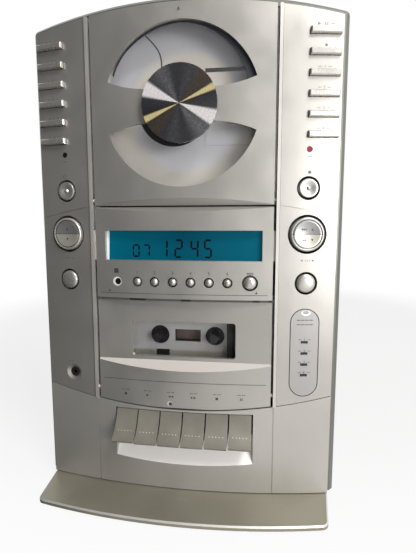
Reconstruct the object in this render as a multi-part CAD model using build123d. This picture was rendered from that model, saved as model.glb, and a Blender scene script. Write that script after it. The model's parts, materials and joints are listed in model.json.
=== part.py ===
from build123d import *
import os
from math import asin, cos, sin, sqrt

# Upright stereo with a disc compartment, radio display and cassette deck.
# Millimetres, Z up, front towards -Y, origin at the middle of the footprint.
# A depth is counted back from the middle of the front, a height up from the top of the foot.

# Overall form
front_width = 212.0
bow_radius = 540.0
crown_radius = 562.0
total_depth = 128.0
plinth_reach = 34.8
pad_height = 1.2
plinth_height = 3.0
cassette_door_top = 142.6
display_height = 66.6
disc_door_height = 131.8

front_y = plinth_reach - total_depth / 2
body_bottom = pad_height + plinth_height
half_front = front_width / 2
upper_seam_height = cassette_door_top + display_height
face_height = upper_seam_height + disc_door_height

# Foot
plinth_half = 106.0
plinth_front_half = 102.0
plinth_back_half = 90.0
plinth_sweep = 480.0
plinth_side = (45.0, 98.0)
plinth_corner = 6.0
plinth_edge = 1.0
pad_length = 24.0
pad_width = 9.0
pad_inset = 22.0

# Panels, seams and the housing band behind them
panel_wall = 3.0
seam = 0.4
face_gap = 0.8
foot_gap = 0.6
band_proud = 4.3
band_edge = 2.6
band_corner = 3.2
frame_depth = 24.0
rim = 1.2
rib_inner = 65.0
rib_width = 2.1
rib_proud = 1.0
rib_depth = 14.0
panel_half = 63.3
seat_inner = panel_half - 2.2
band_start = panel_wall + seam
wing_inner = rib_inner + rib_width + seam / 2

# Curved seams
smile_low = 62.0
smile_radius = 458.0
smile_gap = 0.5
door_swing_gap = 1.0
arch_rise = 5.3
arch_seam_radius = 446.0
groove = 0.6
slant_reach = 12.0
display_slant = 0.77
display_slant_drop = 3.9
door_slant = -1.21
arch_seam_height = upper_seam_height + arch_rise

# Disc compartment
disc_height = upper_seam_height + 66.5
disc_plane = 12.6
disc_wall = 0.9
disc_hole_radius = 7.5
window_radius = 53.7
band_half = 10.9
band_flat = 20.0
band_arc_radius = 80.0
door_bar_depth = 8.0
door_bar_height = 8.0
pane_wall = 1.3
pane_lap = 1.8
hub_radius = 25.4
hub_wall = 2.0
hub_proud = 3.8
hub_shaft_radius = 3.5
boss_radius = 9.0
boss_flare = 9.0
puck_radius = 14.0
puck_wall = 4.2
puck_front = 7.6
puck_recess = 2.4
turntable_radius = 13.0
turntable_wall = 3.2
cone_height = 2.6
cone_tip_radius = 6.0
spindle_shaft_radius = 1.5
well_radius = 61.0
well_front = 8.3
well_floor = 20.3
well_wall = 2.2
bay = (14.1, 44.9, disc_height - 23.2, disc_height + 26.8)
bay_step = 0.6
bay_slot = 2.6
door_hinge_depth = 6.5
door_hinge_height = upper_seam_height + 4.0
pin_radius = 1.5
pin_root = 1.5
running_fit = 0.05
rest_gap = 0.3

# Pickup and its mechanism
pickup_start = 22.5
pickup_travel = 35.0
lens_radius = 3.2
lens_proud = 1.8
rail_radius = 1.5
rail_spacing = 28.0
rail_depth = well_floor + 6.7
rail_ends = (14.0, 70.0)
slot_half = 6.5
sled_half = 17.0
chassis_wall = 1.6
chassis_gap = 0.4
chassis_left = -30.0
chassis_drop = 27.7
motor_radius = 12.0
motor_back = 40.0

# Display panel
lcd_half_width = 56.0
lcd_high = upper_seam_height - 17.0
lcd_low = lcd_high - 21.0
lcd_depth = 6.2
lcd_wall = 4.6
lcd_glass_wall = 1.55
lcd_lip = 1.5
preset_height = upper_seam_height - 53.2
preset_places = (-32.2, -19.5, -6.4, 6.4, 19.3, 32.2)
preset_radius = 2.8
preset_hole_radius = 3.6
preset_proud = 1.2
mode_place = 47.8
mode_radius = 4.6
mode_hole_radius = 5.5
sensor_place = (-47.5, preset_height - 0.2)
sensor_radius = 2.4

# Cassette compartment
cassette_flat_depth = 4.4
cassette_door_back = 7.6
ledge_top = 98.0
ledge_low = 91.3
cassette_window = (-38.0, 38.0, 100.6, 126.7)
window_corner = 2.0
cassette_pane_lap = 2.5
cassette_pane_wall = 1.4
cassette_hinge_depth = 5.5
cassette_hinge_height = 75.0
door_sole_radius = 12.7
cassette_width = 100.4
holder_clearance = 0.8
holder_wall = 1.8
holder_heights = (84.0, 132.0)
microphone_place = (-9.3, 67.0)
microphone_radius = 1.7
deck_depth = 21.6
deck_wall = 1.8
deck_back = 33.0
deck_bottom = 66.0
deck_half = 62.4
deck_flange = rib_inner + rib_width - 0.6
deck_plate_end = 30.2
deck_step = 1.0
reel_spacing = 42.5
reel_height = 112.5
reel_recess_radius = 7.2
reel_pin_radius = 2.0
spindle_radius = 3.1
spindle_fin_radius = 4.6
spindle_fin_wall = 1.3
spindle_tip = 12.4
capstan_place = (20.5, 88.0)
capstan_radius = 1.1
flywheel_radius = 15.0
flywheel_wall = 4.0
pinch_radius = 5.0
pinch_wall = 5.2
pinch_front = 13.0
pinch_height = 77.0
pinch_axle_radius = 1.2
head_height = 79.0

# Keys
key_count = 6
key_pitch = 16.85
key_gap = 1.1
key_top = 60.2
key_lip_height = 41.4
key_reach = 13.6
key_body_depth = 8.0
key_wall = 2.0
key_space_half = 51.2
key_space_top = 60.8
scoop_low = 20.7
scoop_slope = 1.4
scoop_wall = 1.8
key_hinge_depth = 30.0
key_hinge_height = 50.0
key_arm_half = 2.2
key_arm_width = 4.8
key_eye_half = 3.4
rod_half = 56.0
rod_ear = 3.0

# Wing controls
control_place = half_front - 20.0
bar_inner = half_front - 21.7
bar_outer = half_front - 1.5
bar_height = 4.0
bar_first = face_height - 21.0
bar_pitch = 12.9
bar_count = 6
bar_middle = (bar_inner + bar_outer) / 2
bar_proud = 2.6
bar_edge = 0.6
lamp_height = bar_first - (bar_count - 1) * bar_pitch - 9.5
lamp_radius = 1.65
power_height = upper_seam_height + 11.4
dimple_radius = 2.0
dimple_depth = 0.7
rocker_height = upper_seam_height - 19.5
rocker_radius = 11.7
rocker_hole_radius = 13.3
rocker_dish_radius = 9.0
rocker_dish_depth = 0.6
rocker_proud = 1.6
rocker_wall = 5.6
rocker_pin_radius = 1.0
rocker_line = 0.6
round_height = upper_seam_height - 53.1
round_radius = 6.5
round_hole_radius = 7.9
round_proud = 1.6
jack_place = (control_place * -1 + 0.7, 84.7)
jack_bore_radius = 1.78
jack_length = 14.0
jack_radius = 3.4
jack_collar = 9.6
jack_sink = 1.4
jack_sink_radius = 6.3
equalizer_width = 20.4
equalizer_high = cassette_door_top - 4.2
equalizer_low = equalizer_high - 63.7
equalizer_gap = 0.6
equalizer_lap = 2.0
equalizer_lamps = [equalizer_high - drop for drop in (24.0, 32.1, 40.2, 47.9)]
slot_width = 5.0
slot_height = 1.9
bar_clearance = 0.3
lug_gap = 0.2
lug_wall = 1.0
lug_grip = 0.9

# Rear
cabinet_half = half_front - 5.0
cabinet_top = face_height - 7.0
back_half = half_front - 18.0
back_top = face_height - 23.0
cabinet_wall = 2.5
lip_step = 0.6
lip_wall = 2.0
vent_first = 200.0
vent_pitch = 8.0
vent_count = 9
vent_width = 90.0
vent_height = 3.0
socket_panel = (-60.0, 60.0, 26.0, 62.0)
socket_recess = 1.2
inlet_place = (-41.0, 42.0)
inlet_block = (22.0, 16.0)
inlet_mouth = (15.0, 8.4)
inlet_depth = 12.8
inlet_pin_radius = 1.2
inlet_pin_spacing = 8.6
terminal_places = (-10.0, 8.0, 26.0, 44.0)
terminal_heights = (37.0, 51.0)
terminal_size = 7.0
board_depth = 44.0
board_wall = 1.6
board_top = 140.0
screw_places = [(side * back_half * 0.84, height) for side in (-1, 1) for height in (18.0, 165.0)]
screw_head_radius = 3.0
screw_head_wall = 2.0
cabinet_depth = total_depth - plinth_reach - screw_head_wall
screw_radius = 1.5
screw_length = 12.0
screw_boss = 10.0

os.makedirs("parts", exist_ok=True)


# Helpers for the bowed front
def up(height):
    """Height above the underside of the body."""
    return body_bottom + height


def rect(left, right, low, high):
    return Pos((left + right) / 2, (low + high) / 2) * Rectangle(right - left, high - low)


def slab(outline, near, far):
    """Flat solid with an outline in X and height, between two depths."""
    back = Plane.XZ.offset(-(front_y + far))
    return extrude(back * Pos(0, body_bottom) * outline, far - near)


def bow_layer(near, far):
    """Tall curved sheet between two depths measured square to the bowed front."""
    ring = Circle(bow_radius - near) - Circle(bow_radius - far)
    front_half = Pos(0, -bow_radius / 2) * Rectangle(2 * front_width, bow_radius)
    return Pos(0, front_y + bow_radius, 0) * extrude(ring & front_half, up(face_height) + band_proud + 1)


def bowed(outline, near, far):
    """Piece of the bowed front with an outline, between two depths below its surface."""
    return bow_layer(near, far) & slab(outline, near - 1, far + frame_depth)


def behind_bow(outline, near, far):
    """Solid from a depth below the bowed surface back to a flat depth."""
    drum = Pos(0, front_y + bow_radius, 0) * Cylinder(bow_radius - near, 3 * up(face_height))
    return slab(outline, near - 1, far) & drum


def along_x(profile, left, right):
    """Solid with a profile of depths and heights, extruded along X."""
    side = Plane.YZ.offset(left)
    return extrude(side * Pos(front_y, body_bottom) * profile, right - left)


def slant_cut(height, slope):
    """Wedge in front of a slanted plane that passes the front's middle at a height."""
    front, back = height - slant_reach * slope, height + slant_reach * slope
    points = [(-slant_reach, front), (slant_reach, back), (-slant_reach, back), (-slant_reach, front)]
    return along_x(make_face(Polyline(*points)), -rib_inner, rib_inner)


def spot(place, height):
    """Location on the bowed front: local Z points out of it and local Y points up."""
    angle = asin(place / bow_radius)
    origin = (place, front_y + bow_radius * (1 - cos(angle)), up(height))
    return Location(Plane(origin=origin, x_dir=(cos(angle), sin(angle), 0), z_dir=(sin(angle), -cos(angle), 0)))


def peg(radius, low, high):
    """Cylinder along local Z between two levels."""
    return Pos(0, 0, (low + high) / 2) * Cylinder(radius, high - low)


def depth_peg(place, height, radius, near, far):
    """Cylinder along Y between two depths."""
    return Pos(place, front_y + (near + far) / 2, up(height)) * Rot(90, 0, 0) * Cylinder(radius, far - near)


def cross_peg(depth, height, radius, left, right):
    """Cylinder along X at a depth and height."""
    return Pos((left + right) / 2, front_y + depth, up(height)) * Rot(0, 90, 0) * Cylinder(radius, right - left)


def bow_depth(place):
    return bow_radius - sqrt(bow_radius**2 - place**2)


def arched(half, low, crown, radius):
    """Outline with straight sides under an arc."""
    return rect(-half, half, low, crown) & Pos(0, crown - radius) * Circle(radius)


def face_outline(half, low):
    return arched(half, low, face_height - face_gap, crown_radius)


def above_smile(gap):
    return Pos(0, smile_low + smile_radius) * Circle(smile_radius - gap)


def beside_rib(side):
    """Pin that reaches from a door's side into the hole in the rib."""
    return sorted((side * (panel_half - pin_root), side * (rib_inner + rib_width - seam)))


def save(node, shape):
    shape.label = node
    export_step(shape, f"parts/{node}.step")


# Foot
def plinth_outline():
    front_sag = plinth_sweep - sqrt(plinth_sweep**2 - plinth_front_half**2)
    corner = (plinth_front_half, front_sag)
    front = ThreePointArc((-corner[0], corner[1]), (0, 0), corner)
    right = [corner, (plinth_half, plinth_side[0]), (plinth_half, plinth_side[1]), (plinth_back_half, total_depth)]
    left = [(-x, y) for x, y in reversed(right)]
    face = make_face(front + Polyline(*right, *left))
    face = fillet(face.vertices().sort_by(Axis.Y)[:2], plinth_corner)
    return Pos(0, -total_depth / 2) * face


def base_plinth():
    plate = Pos(0, 0, pad_height) * extrude(plinth_outline(), plinth_height)
    return chamfer(plate.faces().sort_by(Axis.Z)[-1].edges(), plinth_edge)


def rubber_feet():
    spread = plinth_half - pad_inset
    reach = total_depth / 2 - pad_inset
    places = [(x, y) for x in (-spread, spread) for y in (-reach, reach)]
    return [Pos(x, y, pad_height / 2) * Box(pad_length, pad_width, pad_height) for x, y in places]


# Front frame: the housing band and its two trim ribs
def housing_outline(proud):
    outline = arched(half_front + proud, 0, face_height + proud, crown_radius + proud)
    return fillet(outline.vertices().sort_by(Axis.Y)[-2:], band_corner)


def front_frame():
    block = behind_bow(housing_outline(band_proud), band_start, frame_depth)
    bow_face = block.faces().filter_by(GeomType.CYLINDER).sort_by(SortBy.AREA)[-1]
    edges = bow_face.edges().filter_by(lambda edge: edge.center().Z > up(foot_gap))
    block = chamfer(edges, band_edge)
    inner = arched(half_front - rim, rim, face_height - rim, crown_radius - rim)
    frame = block - slab(inner, -2, frame_depth + 2)
    for side in (-1, 1):
        frame += trim_rib(side)
    return frame


def trim_rib(side):
    left, right = sorted((side * rib_inner, side * (rib_inner + rib_width)))
    strip = rect(left, right, rim / 2, face_height) & face_outline(half_front, 0)
    rib = bowed(strip, -rib_proud, rib_depth)
    rib += behind_bow(strip & rect(left, right, 0, cassette_door_top + deck_wall), panel_wall, deck_depth)
    rib -= bowed(rect(left - 1, right + 1, 0, cassette_hinge_height) - above_smile(0), -2, band_start)
    rib -= cross_peg(door_hinge_depth, door_hinge_height, pin_radius + running_fit, left - 1, right + 1)
    rib -= cross_peg(cassette_hinge_depth, cassette_hinge_height, pin_radius + running_fit, left - 1, right + 1)
    return rib


# Wings: bowed panels beside the ribs
def wing_blank(side):
    left, right = sorted((side * wing_inner, side * half_front))
    outline = rect(left, right, 0, face_height) & face_outline(half_front, 0) & above_smile(smile_gap)
    wing = bowed(outline, 0, panel_wall)
    band = Circle(arch_seam_radius) - Circle(arch_seam_radius - groove)
    band = rect(left - 1, right + 1, cassette_door_top, face_height) & Pos(0, arch_seam_height - arch_seam_radius) * band
    wing -= bowed(band, -1, groove)
    reach = bar_outer - bar_inner + 2 * bar_clearance
    for row in range(bar_count):
        hole = Box(reach, bar_height + 2 * bar_clearance, 4 * panel_wall)
        wing -= spot(side * bar_middle, bar_first - row * bar_pitch) * hole
    holes = ((power_height, round_hole_radius), (rocker_height, rocker_hole_radius), (round_height, round_hole_radius))
    for height, radius in holes:
        wing -= spot(side * control_place, height) * peg(radius, -2 * panel_wall, panel_wall)
    wing -= spot(side * control_place, lamp_height) * peg(lamp_radius + bar_clearance, -2 * panel_wall, panel_wall)
    return wing


def left_wing():
    wing = wing_blank(-1)
    inner = jack_radius + bar_clearance
    wing -= spot(*jack_place) * Pos(0, 0, -jack_sink / 2) * Cone(inner, jack_sink_radius, jack_sink)
    wing -= spot(*jack_place) * peg(inner, -2 * panel_wall, panel_wall)
    return wing


def stadium(width, low, high):
    """Outline of the equalizer panel, with half circles at both ends."""
    radius = width / 2
    ends = [Pos(control_place, height) * Circle(radius) for height in (low + radius, high - radius)]
    return rect(control_place - radius, control_place + radius, low + radius, high - radius) + ends


def right_wing():
    return wing_blank(1) - bowed(stadium(equalizer_width, equalizer_low, equalizer_high), -1, 2 * panel_wall)


def equalizer_panel():
    outline = stadium(equalizer_width - 2 * equalizer_gap, equalizer_low + equalizer_gap, equalizer_high - equalizer_gap)
    reach = equalizer_width / 2 + equalizer_lap
    flange = rect(control_place - reach, control_place + reach, equalizer_low - equalizer_lap, equalizer_high + 1)
    panel = bowed(outline, 0, panel_wall + lug_gap) + bowed(flange, panel_wall + lug_gap, panel_wall + lug_gap + lug_wall)
    for height in equalizer_lamps:
        panel -= spot(control_place, height) * Box(slot_width, slot_height, 4 * panel_wall)
    return panel


def lamps_and_sensor():
    pieces = [spot(side * control_place, lamp_height) * peg(lamp_radius, -1.5 * panel_wall, 0) for side in (-1, 1)]
    lens = Box(slot_width - bar_clearance, slot_height - bar_clearance, panel_wall)
    pieces += [spot(control_place, height) * Pos(0, 0, -0.7 * panel_wall) * lens for height in equalizer_lamps]
    pieces.append(spot(*sensor_place) * peg(sensor_radius, -1.5 * panel_wall, -seam))
    return pieces


# Lower panel with the key opening and the scoop under the keys
def scoop_profile(grow):
    """Depth and height outline of the hollow that the keys stand in."""
    front = (-3.0 - grow, scoop_low - 3.0 * scoop_slope - grow)
    knee = (6.0, scoop_low + 6.0 * scoop_slope - 0.6 - grow)
    back = (12.0 + grow, scoop_low + 21.0)
    floor = ThreePointArc(front, knee, back)
    rest = Polyline(back, (back[0], key_space_top), (front[0], key_space_top), front)
    return make_face(floor + rest)


def lower_panel():
    outline = rect(-half_front, half_front, foot_gap, cassette_hinge_height)
    outline -= Pos(0, smile_low + smile_radius) * Circle(smile_radius)
    panel = bowed(outline, 0, panel_wall)
    shell = along_x(scoop_profile(scoop_wall), -key_space_half - scoop_wall, key_space_half + scoop_wall)
    below_rod = rect(-half_front, half_front, foot_gap + panel_wall, scoop_low + 20.0)
    panel += shell & behind_bow(below_rod, 0, key_hinge_depth)
    panel -= along_x(scoop_profile(0), -key_space_half, key_space_half)
    for side in (-1, 1):
        left, right = sorted((side * rib_inner, side * (rib_inner + groove)))
        panel -= bowed(rect(left, right, 0, cassette_hinge_height), -1, groove)
    return panel


# Piano keys
def key_shape(index):
    place = (index - (key_count - 1) / 2) * key_pitch
    shift = bow_depth(place)
    front = key_reach - shift
    back = key_body_depth + shift
    hollow = (-0.32 * key_reach + shift, (key_top + key_lip_height) / 2 - 0.8)
    face = ThreePointArc((0.6 + shift, key_top), hollow, (-front, key_lip_height))
    body = Polyline((-front, key_lip_height), (key_wall - front, key_lip_height - key_wall),
                    (back, key_lip_height + key_wall), (back, key_top), (0.6 + shift, key_top))
    half = (key_pitch - key_gap) / 2
    key = along_x(make_face(face + body), place - half, place + half)
    pocket = rect(shift, back - key_wall, key_lip_height - key_wall, key_top - 2 * key_wall)
    key -= along_x(pocket, place - half + key_wall, place + half - key_wall)
    arm = rect(back - 1, key_hinge_depth - key_eye_half, key_hinge_height - key_arm_half, key_hinge_height + key_arm_half)
    arm += Pos(key_hinge_depth, key_hinge_height) * Rectangle(2 * key_eye_half, 2 * key_eye_half)
    arm -= Pos(key_hinge_depth, key_hinge_height) * Circle(pin_radius + running_fit)
    return key + along_x(arm, place - key_arm_width / 2, place + key_arm_width / 2)


# Display panel
def display_panel():
    high = upper_seam_height - groove
    panel = bowed(rect(-panel_half, panel_half, cassette_door_top + 1, high), 0, panel_wall)
    panel += behind_bow(rect(-panel_half, panel_half, high - door_bar_height, high), 0, door_bar_depth)
    panel -= slant_cut(upper_seam_height - display_slant_drop, display_slant)
    lip = rect(-lcd_half_width - lcd_lip, lcd_half_width + lcd_lip, lcd_low - lcd_lip, lcd_high + lcd_lip)
    panel += behind_bow(lip, panel_wall / 2, lcd_depth)
    for side in (-1, 1):
        seat = rect(*sorted((side * seat_inner, side * rib_inner)), lcd_low, lcd_high)
        panel += bowed(seat, panel_wall / 2, 2 * panel_wall)
    panel -= slab(rect(-lcd_half_width, lcd_half_width, lcd_low, lcd_high), -2, door_bar_depth)
    holes = [(place, preset_hole_radius) for place in preset_places] + [(mode_place, mode_hole_radius)]
    for place, radius in holes:
        panel -= spot(place, preset_height) * peg(radius, -2 * panel_wall, panel_wall)
    panel -= spot(*sensor_place) * peg(sensor_radius + bar_clearance, -2 * panel_wall, panel_wall)
    return panel


def lcd_module():
    front, back = lcd_depth + running_fit, lcd_depth + lcd_glass_wall
    glass = rect(-lcd_half_width - 2, lcd_half_width + 2, lcd_low - 2.6, lcd_high + 2.6)
    tray = rect(-lcd_half_width - 4, lcd_half_width + 4, lcd_low - 4.2, lcd_high + 4.2)
    return [slab(glass, front, back), slab(tray, back, lcd_depth + lcd_wall)]


# Push buttons: a turned body with two lugs behind the panel
def round_button(radius, hole_radius, proud):
    back = -panel_wall - lug_gap
    lugs = Pos(0, 0, back - lug_wall / 2) * Box(2 * (hole_radius + lug_grip), radius, lug_wall)
    return peg(radius, back, proud) + lugs


def dimpled_button():
    button = round_button(round_radius, round_hole_radius, dimple_depth)
    return button - peg(dimple_radius, 0, 1)


def bar_button(side, row):
    length = bar_outer - bar_inner
    inside = panel_wall + lug_gap
    front = Pos(0, 0, (bar_proud - inside) / 2) * Box(length, bar_height, bar_proud + inside)
    front = chamfer(front.faces().sort_by(Axis.Z)[-1].edges(), bar_edge)
    flange = Pos(-side * seam, 0, -inside - lug_wall / 2) * Box(length, bar_height + 2 * lug_grip, lug_wall)
    return spot(side * bar_middle, bar_first - row * bar_pitch) * (front + flange)


def rocker(side):
    """Tilting disc with a dished middle, a parting line and a pin behind the wing."""
    disc = peg(rocker_radius, rocker_proud - rocker_wall, rocker_proud)
    disc -= peg(rocker_dish_radius, rocker_proud - rocker_dish_depth, rocker_proud + 1)
    disc -= Pos(0, 0, rocker_proud) * Box(3 * rocker_radius, rocker_line, 4 * rocker_line)
    level = -panel_wall - rest_gap - rocker_pin_radius
    pin_half = rocker_hole_radius + lug_grip
    pin = Pos(0, 0, level) * Rot(0, 90, 0) * Cylinder(rocker_pin_radius, 2 * pin_half)
    return spot(side * control_place, rocker_height) * (disc + pin)


# Disc door, its panes and its turning hub
def band_edge_height(place):
    return band_half + band_arc_radius - sqrt(band_arc_radius**2 - (place - band_flat) ** 2)


def band_outline():
    """Solid bow-tie between the two windows."""
    outer = window_radius + 6
    middle = (band_flat + outer) / 2
    face = Rectangle(2 * band_flat, 2 * band_half) + Circle(boss_radius + boss_flare)
    for side in (-1, 1):
        places = [side * band_flat, side * middle, side * outer]
        tops = [(place, band_edge_height(abs(place))) for place in places]
        lows = [(place, -height) for place, height in tops]
        ends = Line(tops[2], lows[2]) + Line(lows[0], tops[0])
        face += make_face(ThreePointArc(*tops) + ThreePointArc(*lows) + ends)
    return face


def cd_door():
    low = upper_seam_height + seam
    door = bowed(face_outline(panel_half, low), 0, panel_wall)
    door += behind_bow(rect(-panel_half, panel_half, low, low + door_bar_height), 0, door_bar_depth)
    door -= slant_cut(arch_seam_height, door_slant)
    door += depth_peg(0, disc_height, boss_radius, panel_wall / 2, puck_front - rest_gap)
    door -= slab(Pos(0, disc_height) * (Circle(window_radius) - band_outline()), -5, door_bar_depth)
    door -= depth_peg(0, disc_height, hub_shaft_radius + running_fit, -hub_proud, 2 * puck_front)
    for side in (-1, 1):
        door += cross_peg(door_hinge_depth, door_hinge_height, pin_radius, *beside_rib(side))
    return door


def cd_windows():
    panes = []
    reach = window_radius + pane_lap
    for side in (-1, 1):
        low, high = sorted((side * (band_half - pane_lap), side * reach))
        pane = rect(-reach, reach, disc_height + low, disc_height + high)
        panes.append(bowed(pane, panel_wall + running_fit, panel_wall + pane_wall))
    return panes


def hub_disc():
    disc = depth_peg(0, disc_height, hub_radius, -hub_proud, hub_wall - hub_proud)
    shaft = depth_peg(0, disc_height, hub_shaft_radius, hub_wall - hub_proud, puck_front)
    puck = depth_peg(0, disc_height, puck_radius, puck_front, puck_front + puck_wall)
    puck -= depth_peg(0, disc_height, disc_hole_radius + holder_clearance, puck_front + puck_recess, disc_plane)
    return disc + shaft + puck


def turntable():
    front = disc_plane + disc_wall
    table = depth_peg(0, disc_height, turntable_radius, front, front + turntable_wall)
    cone_place = Pos(0, front_y + front - cone_height / 2, up(disc_height)) * Rot(90, 0, 0)
    table += cone_place * Cone(disc_hole_radius - 0.15, cone_tip_radius, cone_height)
    return table + depth_peg(0, disc_height, spindle_shaft_radius, front + turntable_wall, motor_back - 3)


def pickup_slot(grow):
    left = pickup_start - lens_radius - 1.2
    right = pickup_start + pickup_travel + lens_radius + 0.6
    return rect(left - grow, right + grow, disc_height - slot_half - grow, disc_height + slot_half + grow)


def well_outline(low):
    return arched(rib_inner - seam, low, face_height - rim - seam, crown_radius)


def cd_well():
    shelf = door_bar_depth + 3.2
    well = slab(well_outline(upper_seam_height + groove), shelf, well_floor + well_wall)
    well += slab(well_outline(upper_seam_height + door_bar_height + holder_clearance), well_front, shelf)
    well -= depth_peg(0, disc_height, well_radius, 0, well_floor)
    well += slab(rect(*bay), well_floor - bay_step, well_floor + bay_step)
    left, right, _, high = bay
    well -= slab(rect(left, right, high - seam, high + bay_slot), 0, well_floor + well_wall / 2)
    well -= depth_peg(0, disc_height, turntable_radius + 1.2, 0, motor_back)
    well -= slab(pickup_slot(0), 0, motor_back)
    return well


def cd_mechanism():
    near = well_floor + well_wall + chassis_gap
    far = near + chassis_wall
    left, right = rail_ends
    low, high = disc_height - chassis_drop, disc_height + chassis_drop
    plate = slab(rect(chassis_left, right, low, high), near, far)
    plate -= slab(pickup_slot(1.5), near, far)
    plate += slab(rect(chassis_left, right, low - 4, low), well_floor + well_wall, far)
    plate += depth_peg(0, disc_height, motor_radius, far, motor_back)
    plate -= depth_peg(0, disc_height, spindle_shaft_radius + running_fit, near, motor_back)
    for level in (-1, 1):
        height = disc_height + level * rail_spacing / 2
        for place in (left, right - 4):
            plate += slab(rect(place, place + 4, height - 3, height + 3), far, rail_depth + 3)
        plate += cross_peg(rail_depth, height, rail_radius, left, right)
    return plate


def pickup():
    chassis_back = well_floor + well_wall + chassis_gap + chassis_wall
    left, right = pickup_start - 4, pickup_start + 8
    sled = slab(rect(left, right, disc_height - sled_half, disc_height + sled_half), chassis_back + 0.5, rail_depth + 4)
    guide = disc_height + rail_spacing / 2
    sled -= cross_peg(rail_depth, guide, rail_radius + running_fit, left - 1, right + 1)
    fork = disc_height - rail_spacing / 2
    fork_half = rail_radius + running_fit
    sled -= slab(rect(left - 1, right + 1, fork - sled_half, fork + fork_half), rail_depth - fork_half, rail_depth + fork_half)
    neck = rect(left, pickup_start + 3.4, disc_height - slot_half + 1.5, disc_height + slot_half - 1.5)
    sled += slab(neck, well_floor + 0.4, chassis_back + 1)
    return sled + depth_peg(pickup_start, disc_height, lens_radius, well_floor - lens_proud, well_floor + 1)


# Cassette compartment
def cassette_door():
    outline = rect(-panel_half, panel_half, 0, cassette_door_top) & above_smile(door_swing_gap)
    door = behind_bow(outline, 0, cassette_door_back)
    drop = slant_reach * (ledge_top - ledge_low) / cassette_flat_depth
    top = cassette_door_top + 1
    cut = [(cassette_flat_depth, top), (cassette_flat_depth, ledge_top), (-slant_reach, ledge_low - drop),
           (-slant_reach, top), (cassette_flat_depth, top)]
    door -= along_x(make_face(Polyline(*cut)), -rib_inner, rib_inner)
    sole = rect(-door_sole_radius, 2 * door_sole_radius, 0, cassette_hinge_height)
    sole -= Pos(cassette_hinge_depth, cassette_hinge_height) * Circle(door_sole_radius)
    door -= along_x(sole, -rib_inner, rib_inner)
    pocket = rect(panel_wall - panel_half, panel_half - panel_wall, cassette_hinge_height + 2, ledge_low - panel_wall)
    door -= behind_bow(pocket, panel_wall, cassette_door_back + 1)
    door -= slab(fillet(rect(*cassette_window).vertices(), window_corner), -2, cassette_door_back + 1)
    door -= spot(*microphone_place) * peg(microphone_radius, -panel_wall / 2, panel_wall)
    low, high = holder_heights
    for side in (-1, 1):
        inner = side * (cassette_width / 2 + holder_clearance)
        left, right = sorted((inner, inner + side * holder_wall))
        door += slab(rect(left, right, low, high), cassette_door_back - 0.5, deck_depth - holder_wall)
        door += cross_peg(cassette_hinge_depth, cassette_hinge_height, pin_radius, *beside_rib(side))
    return door


def cassette_pane():
    left, right, low, high = cassette_window
    lap = cassette_pane_lap
    return slab(rect(left - lap, right + lap, low - lap, high + lap), cassette_door_back,
                cassette_door_back + cassette_pane_wall)


def tape_deck():
    top = cassette_door_top + deck_wall
    deck = slab(rect(-deck_half, deck_half, deck_bottom, top), deck_depth, deck_back)
    inner = rect(deck_wall - deck_half, deck_half - deck_wall, deck_bottom + deck_wall, top - deck_wall)
    deck -= slab(inner, deck_depth + deck_wall, deck_back - deck_wall)
    deck += slab(rect(-deck_flange, deck_flange, deck_bottom, top), deck_depth, deck_depth + deck_wall)
    deck -= slab(rect(deck_plate_end, deck_half - 4, capstan_place[1] + 2, holder_heights[1]), 0, deck_depth + deck_step)
    cut_back = deck_depth + 2 * deck_wall
    for side in (-1, 1):
        place = side * reel_spacing / 2
        deck -= depth_peg(place, reel_height, reel_recess_radius, 0, cut_back)
        deck -= depth_peg(place, reel_height, reel_pin_radius + running_fit, deck_depth, deck_back + 1)
    deck -= slab(rect(-9.5, 10.3, reel_height - 4.8, reel_height + 4.5), 0, cut_back)
    deck -= slab(rect(-24.5, -14, ledge_top - 2, ledge_top + 3), 0, cut_back)
    deck -= slab(rect(-11, 11, head_height - 8, head_height + 12), 0, cut_back)
    deck -= depth_peg(*capstan_place, capstan_radius + running_fit, 0, deck_back + 1)
    for side in (-1, 1):
        left, right = sorted((side * rod_half, side * (rod_half - rod_ear)))
        ear = rect(key_hinge_depth - 4, deck_back + 3, key_hinge_height - 4, deck_bottom + deck_wall)
        deck += along_x(ear, left, right)
    return deck + cross_peg(key_hinge_depth, key_hinge_height, pin_radius, -rod_half, rod_half)


def reel_spindle(side):
    place = side * reel_spacing / 2
    collar = deck_depth + 2 * deck_wall
    spindle = depth_peg(place, reel_height, spindle_radius, spindle_tip, collar)
    fins = [Rot(0, 0, turn) * Pos(spindle_fin_radius / 2, 0) * Rectangle(spindle_fin_radius, spindle_fin_wall)
            for turn in (0, 120, 240)]
    spindle += slab(Pos(place, reel_height) * (Sketch() + fins), spindle_tip + 2.2, collar)
    return spindle + depth_peg(place, reel_height, reel_pin_radius, collar, deck_back + spindle_fin_wall)


def capstan():
    front = deck_back + seam
    shaft = depth_peg(*capstan_place, capstan_radius, deck_depth - 9, front)
    return shaft + depth_peg(*capstan_place, flywheel_radius, front, front + flywheel_wall)


def tape_head():
    front, back = deck_depth - 4.6, deck_depth - rest_gap
    place = capstan_place[0]
    low = head_height - 9
    bridge = slab(rect(-30, 30, low, head_height - 5.6), front, back)
    bridge -= slab(rect(place - 7, place + 7, low - 1, head_height), 0, pinch_front + pinch_wall + rest_gap)
    head = slab(rect(-6.5, 6.5, head_height - 6, head_height + 3), deck_depth - 7.2, back)
    head = chamfer(head.faces().sort_by(Axis.Z)[-1].edges().filter_by(Axis.Y), 2.4)
    guide = slab(rect(-9, 9, head_height - 7.4, head_height - 2), back, deck_depth + 5)
    lug = slab(rect(place - 3, place + 3, low, pinch_height + 2), pinch_front + pinch_wall + 2 * rest_gap, back)
    axle = depth_peg(place, pinch_height, pinch_axle_radius, pinch_front - holder_clearance, back - 1)
    return bridge + head + guide + lug + axle


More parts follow.
